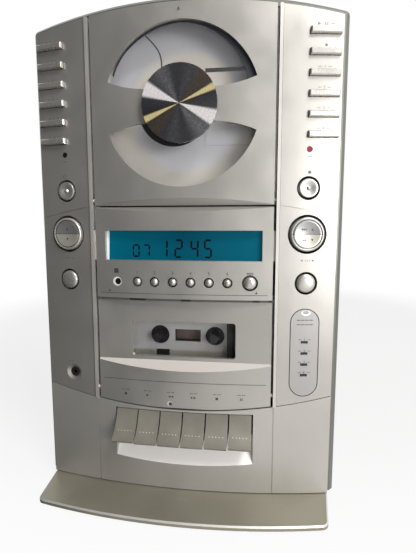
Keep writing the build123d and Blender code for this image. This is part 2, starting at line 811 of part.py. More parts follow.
def pinch_roller():
    roller = depth_peg(capstan_place[0], pinch_height, pinch_radius, pinch_front, pinch_front + pinch_wall)
    return roller - depth_peg(capstan_place[0], pinch_height, pinch_axle_radius + running_fit, 0, deck_depth)


# Headphone socket
def headphone_jack():
    near, far = -holder_clearance, -holder_clearance - jack_length
    collar_front = -panel_wall - rest_gap
    barrel = peg(jack_radius, far, near)
    barrel += Pos(0, 0, (collar_front + far) / 2) * Box(jack_collar, jack_collar, collar_front - far)
    return spot(*jack_place) * (barrel - peg(jack_bore_radius, far - 1, near + 1))


# Rear cabinet
def tapered(inset, far):
    front = arched(cabinet_half - inset, inset, cabinet_top - inset, crown_radius)
    back = arched(back_half - inset, inset, back_top - inset, crown_radius)
    near_face = Plane.XZ.offset(-(front_y + frame_depth)) * Pos(0, body_bottom) * front
    far_face = Plane.XZ.offset(-(front_y + far)) * Pos(0, body_bottom) * back
    return loft([near_face.face(), far_face.face()], ruled=True)


def rear_cabinet():
    lip = housing_outline(band_proud - lip_step)
    shell = tapered(0, cabinet_depth) + slab(lip, frame_depth, frame_depth + lip_wall)
    shell -= tapered(cabinet_wall, cabinet_depth - cabinet_wall)
    inner_back = cabinet_depth - 2 * cabinet_wall
    shell -= slab(rect(*socket_panel), inner_back, cabinet_depth + 1)
    for row in range(vent_count):
        height = vent_first + row * vent_pitch
        shell -= slab(rect(-vent_width / 2, vent_width / 2, height, height + vent_height), inner_back, cabinet_depth + 1)
    for place, height in screw_places:
        boss = Pos(place, height) * Rectangle(screw_boss, screw_boss)
        shell += slab(boss, cabinet_depth - screw_length - 2, cabinet_depth - cabinet_wall / 2)
        shell -= depth_peg(place, height, screw_radius + running_fit, cabinet_depth - screw_length - 3, cabinet_depth + 1)
    return shell


def case_screws():
    screws = []
    for place, height in screw_places:
        head = depth_peg(place, height, screw_head_radius, cabinet_depth, cabinet_depth + screw_head_wall)
        screws.append(head + depth_peg(place, height, screw_radius, cabinet_depth - screw_length, cabinet_depth))
    return screws


def main_board():
    left, right, low, high = socket_panel
    near, far = cabinet_depth - cabinet_wall - socket_recess, cabinet_depth - socket_recess
    panel = slab(rect(left + lug_gap, right - lug_gap, low + lug_gap, high - lug_gap), near, far)
    mouth_floor = far - inlet_depth
    panel += slab(Pos(*inlet_place) * Rectangle(*inlet_block), mouth_floor - 2, far)
    panel -= slab(Pos(*inlet_place) * SlotOverall(*inlet_mouth), mouth_floor, far + 1)
    for side in (-1, 1):
        place = inlet_place[0] + side * inlet_pin_spacing / 2
        panel += depth_peg(place, inlet_place[1], inlet_pin_radius, mouth_floor, far - 3)
    for place in terminal_places:
        for height in terminal_heights:
            panel -= slab(Pos(place, height) * Rectangle(terminal_size, terminal_size), far - 1.2, far + 1)
    panel += slab(rect(left + 2, right - 2, low - 16, board_top), board_depth, board_depth + board_wall)
    panel += slab(rect(left + 10, right - 10, low + 2, low + 8), board_depth + board_wall, near)
    return panel + slab(rect(-28, 28, 72, 120), board_depth + board_wall, 78)


# Write every node
save("base_plinth", base_plinth())
save("rubber_feet", Compound(children=rubber_feet()))
save("front_frame", front_frame())
save("left_wing", left_wing())
save("right_wing", right_wing())
save("equalizer_panel", equalizer_panel())
save("lamps_and_sensor", Compound(children=lamps_and_sensor()))
save("lower_panel", lower_panel())
save("display_panel", display_panel())
save("lcd_module", Compound(children=lcd_module()))
save("cd_door", cd_door())
save("cd_windows", Compound(children=cd_windows()))
save("hub_disc", hub_disc())
save("turntable", turntable())
save("cd_well", cd_well())
save("cd_mechanism", cd_mechanism())
save("pickup", pickup())
save("cassette_door", cassette_door())
save("cassette_pane", cassette_pane())
save("tape_deck", tape_deck())
save("left_reel_spindle", reel_spindle(-1))
save("right_reel_spindle", reel_spindle(1))
save("capstan", capstan())
save("tape_head", tape_head())
save("pinch_roller", pinch_roller())
save("headphone_jack", headphone_jack())
save("rear_cabinet", rear_cabinet())
save("case_screws", Compound(children=case_screws()))
save("main_board", main_board())

for index, name in enumerate(("record", "play", "rewind", "forward", "stop", "pause")):
    save(name + "_key", key_shape(index))
for side, name in ((-1, "left"), (1, "right")):
    for row in range(bar_count):
        save(f"{name}_bar_{row + 1}", bar_button(side, row))
    save(name + "_rocker", rocker(side))
    button = round_button(round_radius, round_hole_radius, round_proud)
    save(name + "_round_button", spot(side * control_place, round_height) * button)
save("power_button", spot(-control_place, power_height) * dimpled_button())
save("sleep_button", spot(control_place, power_height) * dimpled_button())
for number, place in enumerate(preset_places, 1):
    button = round_button(preset_radius, preset_hole_radius, preset_proud)
    save(f"preset_button_{number}", spot(place, preset_height) * button)
save("mode_button", spot(mode_place, preset_height) * round_button(mode_radius, mode_hole_radius, preset_proud))
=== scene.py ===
import json
from math import asin, cos, hypot, pi, radians, sin, sqrt

import bpy
from mathutils import Matrix, Vector
from mathutils.bvhtree import BVHTree


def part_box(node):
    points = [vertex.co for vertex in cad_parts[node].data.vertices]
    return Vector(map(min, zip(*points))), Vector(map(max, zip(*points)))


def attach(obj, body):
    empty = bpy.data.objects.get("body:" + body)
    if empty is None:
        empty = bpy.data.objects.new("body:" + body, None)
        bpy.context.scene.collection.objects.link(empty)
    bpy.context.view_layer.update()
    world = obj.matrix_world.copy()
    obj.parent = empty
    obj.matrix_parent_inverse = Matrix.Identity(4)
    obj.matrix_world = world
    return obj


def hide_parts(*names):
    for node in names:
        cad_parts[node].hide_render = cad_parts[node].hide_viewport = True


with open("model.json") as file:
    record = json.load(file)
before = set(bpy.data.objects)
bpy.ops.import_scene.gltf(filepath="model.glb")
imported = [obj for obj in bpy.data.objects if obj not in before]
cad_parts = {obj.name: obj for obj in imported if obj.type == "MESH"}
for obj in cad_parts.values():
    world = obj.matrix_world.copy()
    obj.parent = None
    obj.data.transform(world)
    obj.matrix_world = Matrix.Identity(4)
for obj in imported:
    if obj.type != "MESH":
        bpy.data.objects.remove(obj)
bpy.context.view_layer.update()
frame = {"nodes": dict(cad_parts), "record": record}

nodes = frame["nodes"]
MM = 0.001

# The bowed front: its place is read from the frame, its radius is that of the solids
FRONT_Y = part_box("lower_panel")[0][1]
BODY_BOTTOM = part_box("front_frame")[0][2]
BOW_RADIUS = 0.540


def bow_y(x):
    """Depth of the bowed front at a place across it, in metres."""
    return FRONT_Y + BOW_RADIUS - sqrt(BOW_RADIUS**2 - x**2)


def bow_place(x, z):
    """A place in mm on the bowed front, with the directions across the bow and out of it."""
    lean = asin(x * MM / BOW_RADIUS)
    origin = Vector((x * MM, bow_y(x * MM), BODY_BOTTOM + z * MM))
    return origin, Vector((cos(lean), sin(lean), 0)), Vector((sin(lean), -cos(lean), 0))


# Camera, fitted to the photo; its place is given from the middle of the front and the top of the foot
FOCAL_PIXELS = 411.43
IMAGE_HEIGHT = 553
SENSOR = 36.0
CAMERA_PLACE = Vector((0.05726, FRONT_Y - 0.28059, BODY_BOTTOM + 0.19489))
CAMERA_YAW = radians(7.8)
CAMERA_PITCH = radians(-6.9)
NEAREST_SEEN = 0.01


def make_camera():
    data = bpy.data.cameras.new("camera")
    data.lens = FOCAL_PIXELS * SENSOR / IMAGE_HEIGHT
    data.sensor_width = SENSOR
    data.clip_start = NEAREST_SEEN
    camera = bpy.data.objects.new("camera", data)
    level = cos(CAMERA_PITCH)
    ahead = Vector((-sin(CAMERA_YAW) * level, cos(CAMERA_YAW) * level, sin(CAMERA_PITCH)))
    right = Vector((cos(CAMERA_YAW), sin(CAMERA_YAW), 0))
    turn = Matrix((right, right.cross(ahead), -ahead)).transposed().to_4x4()
    camera.matrix_world = Matrix.Translation(CAMERA_PLACE) @ turn
    bpy.context.scene.collection.objects.link(camera)
    bpy.context.scene.camera = camera


# Lamps
def area_light(name, place, target, size, power, colour):
    data = bpy.data.lights.new(name, "AREA")
    data.shape = "RECTANGLE"
    data.size, data.size_y = size
    data.energy = power
    data.color = colour
    lamp = bpy.data.objects.new(name, data)
    lamp.location = place
    lamp.rotation_euler = (Vector(target) - Vector(place)).to_track_quat("-Z", "Y").to_euler()
    bpy.context.scene.collection.objects.link(lamp)


# Node helpers
def feed(tree, value, entry):
    """Sets a node's input to a number, or links another node's output to it."""
    if isinstance(value, (int, float)):
        entry.default_value = value
    else:
        tree.links.new(value, entry)


def math_node(tree, operation, first, second):
    node = tree.nodes.new("ShaderNodeMath")
    node.operation = operation
    feed(tree, first, node.inputs[0])
    feed(tree, second, node.inputs[1])
    return node.outputs[0]


def mix_node(tree, factor, first, second):
    """The first value where the factor is 0 and the second where it is 1."""
    node = tree.nodes.new("ShaderNodeMix")
    node.data_type = "FLOAT"
    feed(tree, factor, node.inputs["Factor"])
    feed(tree, first, node.inputs[2])
    feed(tree, second, node.inputs[3])
    return node.outputs[0]


def axis_node(tree, vector, name):
    """One component of a vector."""
    node = tree.nodes.new("ShaderNodeSeparateXYZ")
    tree.links.new(vector, node.inputs[0])
    return node.outputs[name]


def seen_by_camera(tree):
    """1 for rays that come from the camera, straight or through a clear pane."""
    rays = tree.nodes.new("ShaderNodeLightPath").outputs
    return math_node(tree, "MAXIMUM", rays["Is Camera Ray"], rays["Is Transmission Ray"])


def range_node(tree, value, start, end, low, high, kind="LINEAR"):
    """Maps start..end onto low..high and holds the ends."""
    node = tree.nodes.new("ShaderNodeMapRange")
    node.interpolation_type = kind
    for name, number in (("From Min", start), ("From Max", end), ("To Min", low), ("To Max", high)):
        node.inputs[name].default_value = number
    tree.links.new(value, node.inputs["Value"])
    return node.outputs["Result"]


# World: its strength on either side, and the directions between which it changes
WORLD_LEFT = 0.04
WORLD_RIGHT = 0.98
WORLD_CHANGE = (-0.57, 0.68)
BEHIND_CHANGE = (0.0, 0.3)


def make_world():
    """Soft room light that falls off to the left; the camera, and mirrors that face back, see white."""
    world = bpy.data.worlds.new("studio")
    world.use_nodes = True
    bpy.context.scene.world = world
    tree = world.node_tree
    tree.nodes.clear()
    output = tree.nodes.new("ShaderNodeOutputWorld")
    back = tree.nodes.new("ShaderNodeBackground")
    direction = tree.nodes.new("ShaderNodeTexCoord").outputs["Generated"]
    across = axis_node(tree, direction, "X")
    side = range_node(tree, across, *WORLD_CHANGE, WORLD_LEFT, WORLD_RIGHT, "SMOOTHSTEP")
    behind = range_node(tree, axis_node(tree, direction, "Y"), *BEHIND_CHANGE, 0.0, 1.0)
    glossy = tree.nodes.new("ShaderNodeLightPath").outputs["Is Glossy Ray"]
    mirrored = math_node(tree, "MULTIPLY", glossy, behind)
    white = math_node(tree, "MAXIMUM", seen_by_camera(tree), mirrored)
    back.inputs["Color"].default_value = (1.0, 1.0, 1.0, 1)
    tree.links.new(mix_node(tree, white, side, 1.0), back.inputs["Strength"])
    tree.links.new(back.outputs[0], output.inputs[0])


# The floor: how far out it fades, how bright it is to the camera, and what light it throws back
FADE_DISTANCE = (0.40, 0.7)
FADE_AMOUNT = (0.80, 1.0)
FLOOR_SEEN = 0.55
BOUNCE_CHANGE = (-0.11, 0.0)
BOUNCE_AMOUNT = (0.04, 0.66)


def make_stage():
    """Pale floor that keeps a soft shadow and fades to white away from the object."""
    bpy.ops.mesh.primitive_grid_add(x_subdivisions=4, y_subdivisions=4, size=8, location=(0, 0.5, 0))
    floor = bpy.context.object
    floor.name = "floor"
    paint = bpy.data.materials.new("floor_pale")
    paint.use_nodes = True
    tree = paint.node_tree
    shader = tree.nodes["Principled BSDF"]
    shader.inputs["Roughness"].default_value = 0.8
    place = tree.nodes.new("ShaderNodeTexCoord").outputs["Object"]
    away = tree.nodes.new("ShaderNodeVectorMath")
    away.operation = "LENGTH"
    tree.links.new(place, away.inputs[0])
    fade = range_node(tree, away.outputs["Value"], *FADE_DISTANCE, *FADE_AMOUNT, "SMOOTHSTEP")
    seen = seen_by_camera(tree)
    bounce = range_node(tree, axis_node(tree, place, "X"), *BOUNCE_CHANGE, *BOUNCE_AMOUNT, "SMOOTHSTEP")
    tree.links.new(mix_node(tree, seen, bounce, FLOOR_SEEN), shader.inputs["Base Color"])
    white = tree.nodes.new("ShaderNodeEmission")
    mix = tree.nodes.new("ShaderNodeMixShader")
    tree.links.new(math_node(tree, "MULTIPLY", seen, fade), mix.inputs[0])
    tree.links.new(shader.outputs[0], mix.inputs[1])
    tree.links.new(white.outputs[0], mix.inputs[2])
    tree.links.new(mix.outputs[0], tree.nodes["Material Output"].inputs["Surface"])
    floor.data.materials.append(paint)


# Paints made of procedural nodes
class Paint:
    """A principled material whose colour, roughness and bump come from procedural nodes."""

    def __init__(self, name):
        self.material = bpy.data.materials.new(name)
        self.material.use_nodes = True
        self.tree = self.material.node_tree
        self.shader = self.tree.nodes["Principled BSDF"]
        self.place = self.tree.nodes.new("ShaderNodeTexCoord").outputs["Object"]
        self.height = None

    def set(self, **values):
        for name, value in values.items():
            self.shader.inputs[name.replace("_", " ")].default_value = value
        return self

    def link(self, output, target):
        self.tree.links.new(output, target)

    def noise(self, scale, detail=3.0, stretch=None):
        texture = self.tree.nodes.new("ShaderNodeTexNoise")
        texture.inputs["Scale"].default_value = scale
        texture.inputs["Detail"].default_value = detail
        source = self.place
        if stretch:
            mapping = self.tree.nodes.new("ShaderNodeMapping")
            mapping.inputs["Scale"].default_value = stretch
            self.link(source, mapping.inputs["Vector"])
            source = mapping.outputs[0]
        self.link(source, texture.inputs["Vector"])
        return texture.outputs["Fac"]

    def ramp(self, value, low, high, start=0.3, end=0.7):
        return range_node(self.tree, value, start, end, low, high)

    def blend(self, factor, first, second):
        """Mix of two colours; each is a colour or another node's output."""
        node = self.tree.nodes.new("ShaderNodeMix")
        node.data_type = "RGBA"
        self.link(factor, node.inputs["Factor"])
        for value, slot in ((first, 6), (second, 7)):
            if isinstance(value, tuple):
                node.inputs[slot].default_value = (*value, 1)
            else:
                self.link(value, node.inputs[slot])
        return node.outputs[2]

    def maths(self, operation, first, second=0.0):
        return math_node(self.tree, operation, first, second)

    def axis(self, name):
        return axis_node(self.tree, self.place, name)

    def facing(self, name):
        """One component of the surface's direction."""
        geometry = self.tree.nodes.new("ShaderNodeNewGeometry")
        return axis_node(self.tree, geometry.outputs["True Normal"], name)

    def distance(self, across, upward):
        squares = [self.maths("MULTIPLY", value, value) for value in (across, upward)]
        return self.maths("SQRT", self.maths("ADD", *squares))

    def polar(self, x, z):
        """Radius and angle about a place on the front."""
        across = self.maths("SUBTRACT", self.axis("X"), x)
        upward = self.maths("SUBTRACT", self.axis("Z"), z)
        return self.distance(across, upward), self.maths("ARCTAN2", upward, across)

    def mottle(self, scale, detail, first, second):
        """Two colours that wander into each other."""
        return self.blend(self.ramp(self.noise(scale, detail), 0, 1), first, second)

    def colour(self, output):
        self.link(output, self.shader.inputs["Base Color"])
        return self

    def rough(self, scale, detail, low, high):
        """Roughness that wanders between two values."""
        self.link(self.ramp(self.noise(scale, detail), low, high), self.shader.inputs["Roughness"])
        return self

    def grain(self, scale, detail, distance, strength):
        return self.bump(self.noise(scale, detail), distance, strength)

    def bump(self, output, distance, strength=1.0):
        node = self.tree.nodes.new("ShaderNodeBump")
        node.inputs["Distance"].default_value = distance
        node.inputs["Strength"].default_value = strength
        self.link(output, node.inputs["Height"])
        if self.height:
            self.link(self.height, node.inputs["Normal"])
        self.height = node.outputs[0]
        self.link(self.height, self.shader.inputs["Normal"])
        return self


def scaled(colour, factor):
    return tuple(min(1.0, value * factor) for value in colour)


def lacquer(paint, colour, grain):
    """Mottled colour with fine bright flakes."""
    mottling = paint.mottle(14, 4, scaled(colour, 0.92), scaled(colour, 1.06))
    flakes = paint.ramp(paint.noise(5200, 1), 0, 0.34 * grain, 0.5, 0.75)
    return paint.blend(flakes, mottling, scaled(colour, 1.3))


# Upward tilt at which a ledge takes its painted highlight, and the tilt of plain top faces, which stay as
# they are
LIT_LEDGE_TILT = (0.1, 0.3)
TOP_TILT = 0.93


def silver_paint(name, colour, metallic=0.75, rough=0.36, grain=1.0, painted_ledge_light=None):
    """Metallic lacquer on moulded plastic: fine flakes, soft mottling and slight handling marks; given a
    ledge colour, upward-tilted faces are painted in it, non-metallic, as a painted highlight.
    """
    paint = Paint(name).set(Metallic=metallic, Coat_Weight=0.12, Coat_Roughness=0.25)
    tone = lacquer(paint, colour, grain)
    if painted_ledge_light:
        # Painted highlight: faces that tilt upward, short of plain tops, take the ledge colour and lose their
        # metal, as if lit from above
        tilt = paint.facing("Z")
        below_top = paint.maths("LESS_THAN", tilt, TOP_TILT)
        upward = paint.maths("MULTIPLY", paint.ramp(tilt, 0, 1, *LIT_LEDGE_TILT), below_top)
        tone = paint.blend(upward, tone, painted_ledge_light)
        paint.link(paint.ramp(upward, metallic, 0, 0, 1), paint.shader.inputs["Metallic"])
    paint.colour(tone)
    paint.rough(46, 5, rough - 0.05, rough + 0.07)
    paint.grain(2600, 2, 0.000012, 0.6 * grain)
    return paint.material


SILVER = (0.47, 0.455, 0.43)
OLIVE = (0.16, 0.162, 0.145)
# The trim ribs lie within this reach of the middle and below this height
RIB_REACH = 0.0676
RIB_TOP = 0.3362


def housing_paint():
    """Olive grey lacquer of the housing band, with silver on the two trim ribs between the panels."""
    paint = Paint("housing_paint").set(Metallic=0.6, Coat_Weight=0.12, Coat_Roughness=0.25)
    inside = paint.maths("LESS_THAN", paint.maths("ABSOLUTE", paint.axis("X")), RIB_REACH)
    below = paint.maths("LESS_THAN", paint.axis("Z"), BODY_BOTTOM + RIB_TOP)
    rib = paint.maths("MULTIPLY", inside, below)
    paint.colour(paint.blend(rib, lacquer(paint, OLIVE, 0.8), lacquer(paint, scaled(SILVER, 1.25), 0.8)))
    paint.rough(46, 5, 0.34, 0.46)
    paint.grain(2600, 2, 0.000012, 0.6)
    return paint.material


KEY_PAINTED_SIDE_TILT = 0.7


def key_plastic():
    """Warm grey semi-gloss plastic; the sides that face right carry a pale painted highlight and those that
    face left a near-black painted shade.
    """
    paint = Paint("key_plastic").set(Metallic=0.45, Coat_Weight=0.15, Coat_Roughness=0.2)
    shade = paint.mottle(60, 4, (0.215, 0.205, 0.175), (0.26, 0.248, 0.212))
    # Painted highlight on sides facing right, painted shade on sides facing left, in the gaps between the
    # keys
    side = paint.facing("X")
    shade = paint.blend(paint.maths("GREATER_THAN", side, KEY_PAINTED_SIDE_TILT), shade, (0.55, 0.54, 0.50))
    shade = paint.blend(paint.maths("LESS_THAN", side, -KEY_PAINTED_SIDE_TILT), shade, (0.02, 0.02, 0.018))
    paint.colour(shade).rough(180, 4, 0.34, 0.46).grain(3000, 2, 0.00001, 0.5)
    return paint.material


# Tilts between which the foot's chamfer lies, which is painted pale as a painted highlight
CHAMFER_HIGHLIGHT_TILT = (0.3, 0.95)


def base_plastic():
    """Olive satin plastic whose chamfer carries a pale painted highlight, with a few pale scuffs."""
    paint = Paint("base_plastic").set(Metallic=0.45)
    shade = paint.mottle(22, 5, (0.25, 0.235, 0.185), (0.31, 0.295, 0.235))
    scuffs = paint.ramp(paint.noise(85, 6), 0, 0.5, 0.68, 0.78)
    shade = paint.blend(scuffs, shade, (0.42, 0.41, 0.37))
    # Painted highlight: faces tilted like the chamfer are painted pale
    tilt = paint.facing("Z")
    steep_end, flat_end = CHAMFER_HIGHLIGHT_TILT
    tilted = paint.maths("GREATER_THAN", tilt, steep_end)
    edge = paint.maths("MULTIPLY", tilted, paint.maths("LESS_THAN", tilt, flat_end))
    paint.colour(paint.blend(edge, shade, (0.55, 0.54, 0.52)))
    paint.rough(90, 4, 0.36, 0.5).grain(1500, 3, 0.00003, 0.6)
    return paint.material


def cabinet_plastic():
    """Grey grained plastic of the back."""
    paint = Paint("cabinet_plastic")
    paint.colour(paint.mottle(12, 4, (0.20, 0.20, 0.20), (0.24, 0.24, 0.235)))
    paint.rough(60, 4, 0.48, 0.6).grain(900, 3, 0.00008, 0.8)
    return paint.material


def black_plastic(name="black_plastic", shade=0.012, rough=0.35):
    paint = Paint(name)
    paint.colour(paint.mottle(120, 4, (shade,) * 3, (shade * 1.6,) * 3))
    paint.rough(200, 3, rough - 0.05, rough + 0.1).grain(1800, 2, 0.00003, 0.5)
    return paint.material


def rubber():
    paint = Paint("rubber")
    paint.colour(paint.mottle(300, 4, (0.018, 0.018, 0.018), (0.035, 0.034, 0.033)))
    paint.rough(240, 3, 0.7, 0.85).grain(1400, 3, 0.00005, 0.6)
    return paint.material


def steel():
    paint = Paint("steel").set(Metallic=1.0)
    streaks = paint.ramp(paint.noise(60, 4, (1, 1, 30)), 0, 1)
    paint.colour(paint.blend(streaks, (0.50, 0.50, 0.49), (0.62, 0.62, 0.61))).rough(200, 3, 0.2, 0.34)
    return paint.material


hub_low, hub_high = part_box("hub_disc")
HUB_X = (hub_low[0] + hub_high[0]) / 2
HUB_Z = (hub_low[2] + hub_high[2]) / 2
WELL_RING = 0.041
WELL_FLOOR = 0.0203
# How far behind a plate the paint of its recesses begins
RECESS_MARGIN = 0.0003


def well_plastic():
    """Satin plastic of the disc well: cool grey and warm pale zones on either side of a soft ring; its side
    walls and the slot deeper than its floor are painted near black, which in the slot is painted shade.
    """
    paint = Paint("well_plastic").set(Metallic=0.2, Coat_Weight=0.1, Coat_Roughness=0.3)
    radius, angle = paint.polar(HUB_X, HUB_Z)
    outside = paint.ramp(radius, 0, 1, WELL_RING - 0.003, WELL_RING + 0.003)
    upper = paint.maths("GREATER_THAN", paint.axis("Z"), HUB_Z)
    above = paint.blend(outside, (0.97, 0.91, 0.82), (0.76, 0.76, 0.82))
    below = paint.blend(outside, (0.80, 0.80, 0.84), (0.80, 0.755, 0.68))
    tone = paint.blend(upper, below, above)
    tone = paint.blend(paint.ramp(paint.noise(30, 4), 0, 0.12), tone, (0.3, 0.29, 0.28))
    # Painted shade in the slot deeper than the floor; the side walls are painted near black too
    wall = paint.maths("LESS_THAN", paint.maths("ABSOLUTE", paint.facing("Y")), 0.6)
    slot = paint.maths("GREATER_THAN", paint.axis("Y"), FRONT_Y + WELL_FLOOR + RECESS_MARGIN)
    dark = paint.maths("MAXIMUM", wall, slot)
    paint.colour(paint.blend(dark, tone, (0.010, 0.011, 0.014)))
    paint.rough(70, 4, 0.36, 0.48).grain(2200, 2, 0.00001, 0.5)
    return paint.material


DECK_DEPTH = 0.0216
NOTCH_HALF = 0.0105
NOTCH_LOW = 0.1070
NOTCH_HIGH = 0.1175
DECK_SHADE_HEIGHT = 0.1005


def deck_plastic():
    """Pale deck plate whose recesses are dark brown, with a brownish view through the middle notch."""
    paint = Paint("deck_plastic").set(Metallic=0.15, Coat_Weight=0.1, Coat_Roughness=0.3)
    height = paint.axis("Z")
    grain = paint.ramp(paint.noise(40, 4), 0, 1)
    pale = paint.blend(grain, (0.55, 0.54, 0.54), (0.62, 0.61, 0.61))
    low_tone = paint.blend(grain, (0.34, 0.325, 0.27), (0.39, 0.375, 0.31))
    level = BODY_BOTTOM + DECK_SHADE_HEIGHT
    plate = paint.blend(paint.ramp(height, 0, 1, level - 0.001, level + 0.001), low_tone, pale)
    brown = paint.blend(grain, (0.010, 0.007, 0.006), (0.018, 0.012, 0.010))
    sweep = paint.ramp(paint.axis("X"), 0, 1, -NOTCH_HALF, NOTCH_HALF)
    notch_tone = paint.blend(sweep, (0.13, 0.10, 0.11), (0.30, 0.19, 0.14))
    across = paint.maths("LESS_THAN", paint.maths("ABSOLUTE", paint.axis("X")), NOTCH_HALF)
    above = paint.maths("GREATER_THAN", height, BODY_BOTTOM + NOTCH_LOW)
    under = paint.maths("LESS_THAN", height, BODY_BOTTOM + NOTCH_HIGH)
    notch = paint.maths("MULTIPLY", across, paint.maths("MULTIPLY", above, under))
    recess = paint.blend(notch, brown, notch_tone)
    deep = paint.maths("GREATER_THAN", paint.axis("Y"), FRONT_Y + DECK_DEPTH + RECESS_MARGIN)
    paint.colour(paint.blend(deep, plate, recess)).rough(70, 4, 0.34, 0.46)
    return paint.material


def wedge(paint, angle, centre, half, soft):
    """Two opposite wedges about a centre, from the angle's distance to a line through it."""
    line = paint.maths("ABSOLUTE", paint.maths("COSINE", paint.maths("SUBTRACT", angle, radians(centre))))
    return paint.ramp(line, 0, 1, cos(radians(half + soft)), cos(radians(half - soft)))


# Painted highlights on the hub disc, wedges that stand in for the lamps' reflections in the spun metal: angle
# of the middle, half width and softness, in degrees
WHITE_HIGHLIGHT_WEDGE = (157, 11.5, 2.5)
GREY_SHEEN_WEDGE = (150, 26, 20)
BROWN_SHEEN_WEDGE = (40, 12, 9)
GOLD_HIGHLIGHT_WEDGE = (23, 5, 1.6)
# Phase of the ring pattern per metre of radius
RING_TURNS = 12000.0


def spun_aluminium():
    """Lathe-turned dark metal: fine rings, and bright wedges painted on as painted highlights for the
    reflections that the rings throw.
    """
    paint = Paint("spun_aluminium").set(Anisotropic=0.9)
    radius, angle = paint.polar(HUB_X, HUB_Z)
    rings = paint.maths("SINE", paint.maths("MULTIPLY", radius, RING_TURNS))
    tone = paint.blend(paint.ramp(rings, 0, 1, -1, 1), (0.075, 0.075, 0.083), (0.105, 0.105, 0.115))
    # Painted highlights: white and yellow wedges with softer grey and brown sheen, less metallic where
    # brightest
    white = wedge(paint, angle, *WHITE_HIGHLIGHT_WEDGE)
    gold = wedge(paint, angle, *GOLD_HIGHLIGHT_WEDGE)
    tone = paint.blend(wedge(paint, angle, *GREY_SHEEN_WEDGE), tone, (0.17, 0.17, 0.185))
    tone = paint.blend(wedge(paint, angle, *BROWN_SHEEN_WEDGE), tone, (0.15, 0.12, 0.10))
    tone = paint.blend(gold, tone, (0.56, 0.48, 0.235))
    tone = paint.blend(white, tone, (0.70, 0.67, 0.68))
    paint.colour(tone).rough(800, 2, 0.24, 0.32)
    bright = paint.maths("MAXIMUM", white, gold)
    paint.link(paint.ramp(bright, 0.95, 0.25, 0, 1), paint.shader.inputs["Metallic"])
    tangent = paint.tree.nodes.new("ShaderNodeTangent")
    tangent.direction_type = "RADIAL"
    tangent.axis = "Y"
    paint.link(tangent.outputs[0], paint.shader.inputs["Tangent"])
    paint.bump(rings, 0.000002, 0.2)
    return paint.material


def clear_acrylic(name, tint, alpha):
    paint = Paint(name).set(Roughness=0.05, IOR=1.49, Alpha=alpha, Specular_IOR_Level=0.2)
    paint.colour(paint.mottle(35, 3, tint, scaled(tint, 1.12))).grain(9, 2, 0.00005, 0.2)
    return paint.material


DISPLAY_REACH = 0.056


def display_glass():
    """Backlit liquid crystal: teal, brighter at its ends and in soft spots."""
    paint = Paint("display_glass").set(Roughness=0.3, Specular_IOR_Level=0.12)
    ends = paint.ramp(paint.maths("ABSOLUTE", paint.axis("X")), 0, 1, 0.0, DISPLAY_REACH)
    tone = paint.blend(ends, (0.0, 0.038, 0.068), (0.0, 0.068, 0.108))
    spots = paint.ramp(paint.noise(30, 4), 0, 0.35)
    tone = paint.blend(spots, tone, (0.0, 0.085, 0.125))
    paint.colour(tone)
    paint.link(tone, paint.shader.inputs["Emission Color"])
    paint.set(Emission_Strength=0.5).grain(4000, 1, 0.000004, 0.4)
    return paint.material


RED_LAMP_HEIGHT = 0.23


def lamp_lens():
    """Dark lenses; the lamp on the right wing is red."""
    paint = Paint("lamp_lens").set(Roughness=0.12, Coat_Weight=0.5)
    beside = paint.maths("GREATER_THAN", paint.axis("X"), 0.0)
    high = paint.maths("GREATER_THAN", paint.axis("Z"), BODY_BOTTOM + RED_LAMP_HEIGHT)
    red = paint.maths("MULTIPLY", beside, high)
    grain = paint.ramp(paint.noise(500, 2), 0, 1)
    dark = paint.blend(grain, (0.006, 0.005, 0.006), (0.012, 0.010, 0.011))
    glow = paint.blend(grain, (0.20, 0.012, 0.022), (0.30, 0.020, 0.034))
    paint.colour(paint.blend(red, dark, glow))
    return paint.material


# Flat matte paint for marks: printing ink, and also painted highlights and shadows
def ink_paint(name, shade):
    paint = Paint(name)
    paint.colour(paint.mottle(2000, 2, shade, scaled(shade, 1.5))).rough(900, 2, 0.5, 0.65)
    return paint.material


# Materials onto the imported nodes
def assign(material, names):
    for name in names:
        node = nodes[name]
        node.data.materials.clear()
        node.data.materials.append(material)


def by_slot(slot):
    return [part["node"] for part in frame["record"]["subparts"] if part["material_slot"] == slot]


def dress_nodes(button_paint):
    assign(silver_paint("silver_plastic", SILVER), by_slot("silver_plastic"))
    # The cassette door's ledge and the lower panel's scoop carry a painted highlight on their upward faces
    assign(silver_paint("silver_lit_ledge", SILVER, painted_ledge_light=(0.50, 0.47, 0.44)), ["cassette_door"])
    assign(silver_paint("silver_lit_scoop", SILVER, 0.6, painted_ledge_light=(0.93, 0.90, 0.88)), ["lower_panel"])
    assign(housing_paint(), ["front_frame"])
    assign(button_paint, by_slot("silver_button"))
    assign(key_plastic(), by_slot("key_plastic"))
    assign(base_plastic(), by_slot("base_plastic"))
    assign(cabinet_plastic(), by_slot("cabinet_plastic"))
    assign(well_plastic(), ["cd_well"])
    assign(deck_plastic(), ["tape_deck"])
    assign(black_plastic(), by_slot("black_plastic"))
    assign(black_plastic("gloss_black", 0.008, 0.16), ["left_reel_spindle", "right_reel_spindle"])
    assign(spun_aluminium(), by_slot("spun_aluminium"))
    assign(clear_acrylic("clear_window", (0.42, 0.42, 0.43), 0.06), by_slot("clear_window"))
    assign(clear_acrylic("tape_window", (0.08, 0.08, 0.085), 0.06), by_slot("tape_window"))
    assign(display_glass(), by_slot("display_glass"))
    assign(lamp_lens(), by_slot("lamp_lens"))
    assign(steel(), by_slot("steel"))
    assign(rubber(), by_slot("rubber"))
    assign(silver_paint("equalizer_paint", (0.40, 0.39, 0.385), 0.6, 0.4), ["equalizer_panel"])


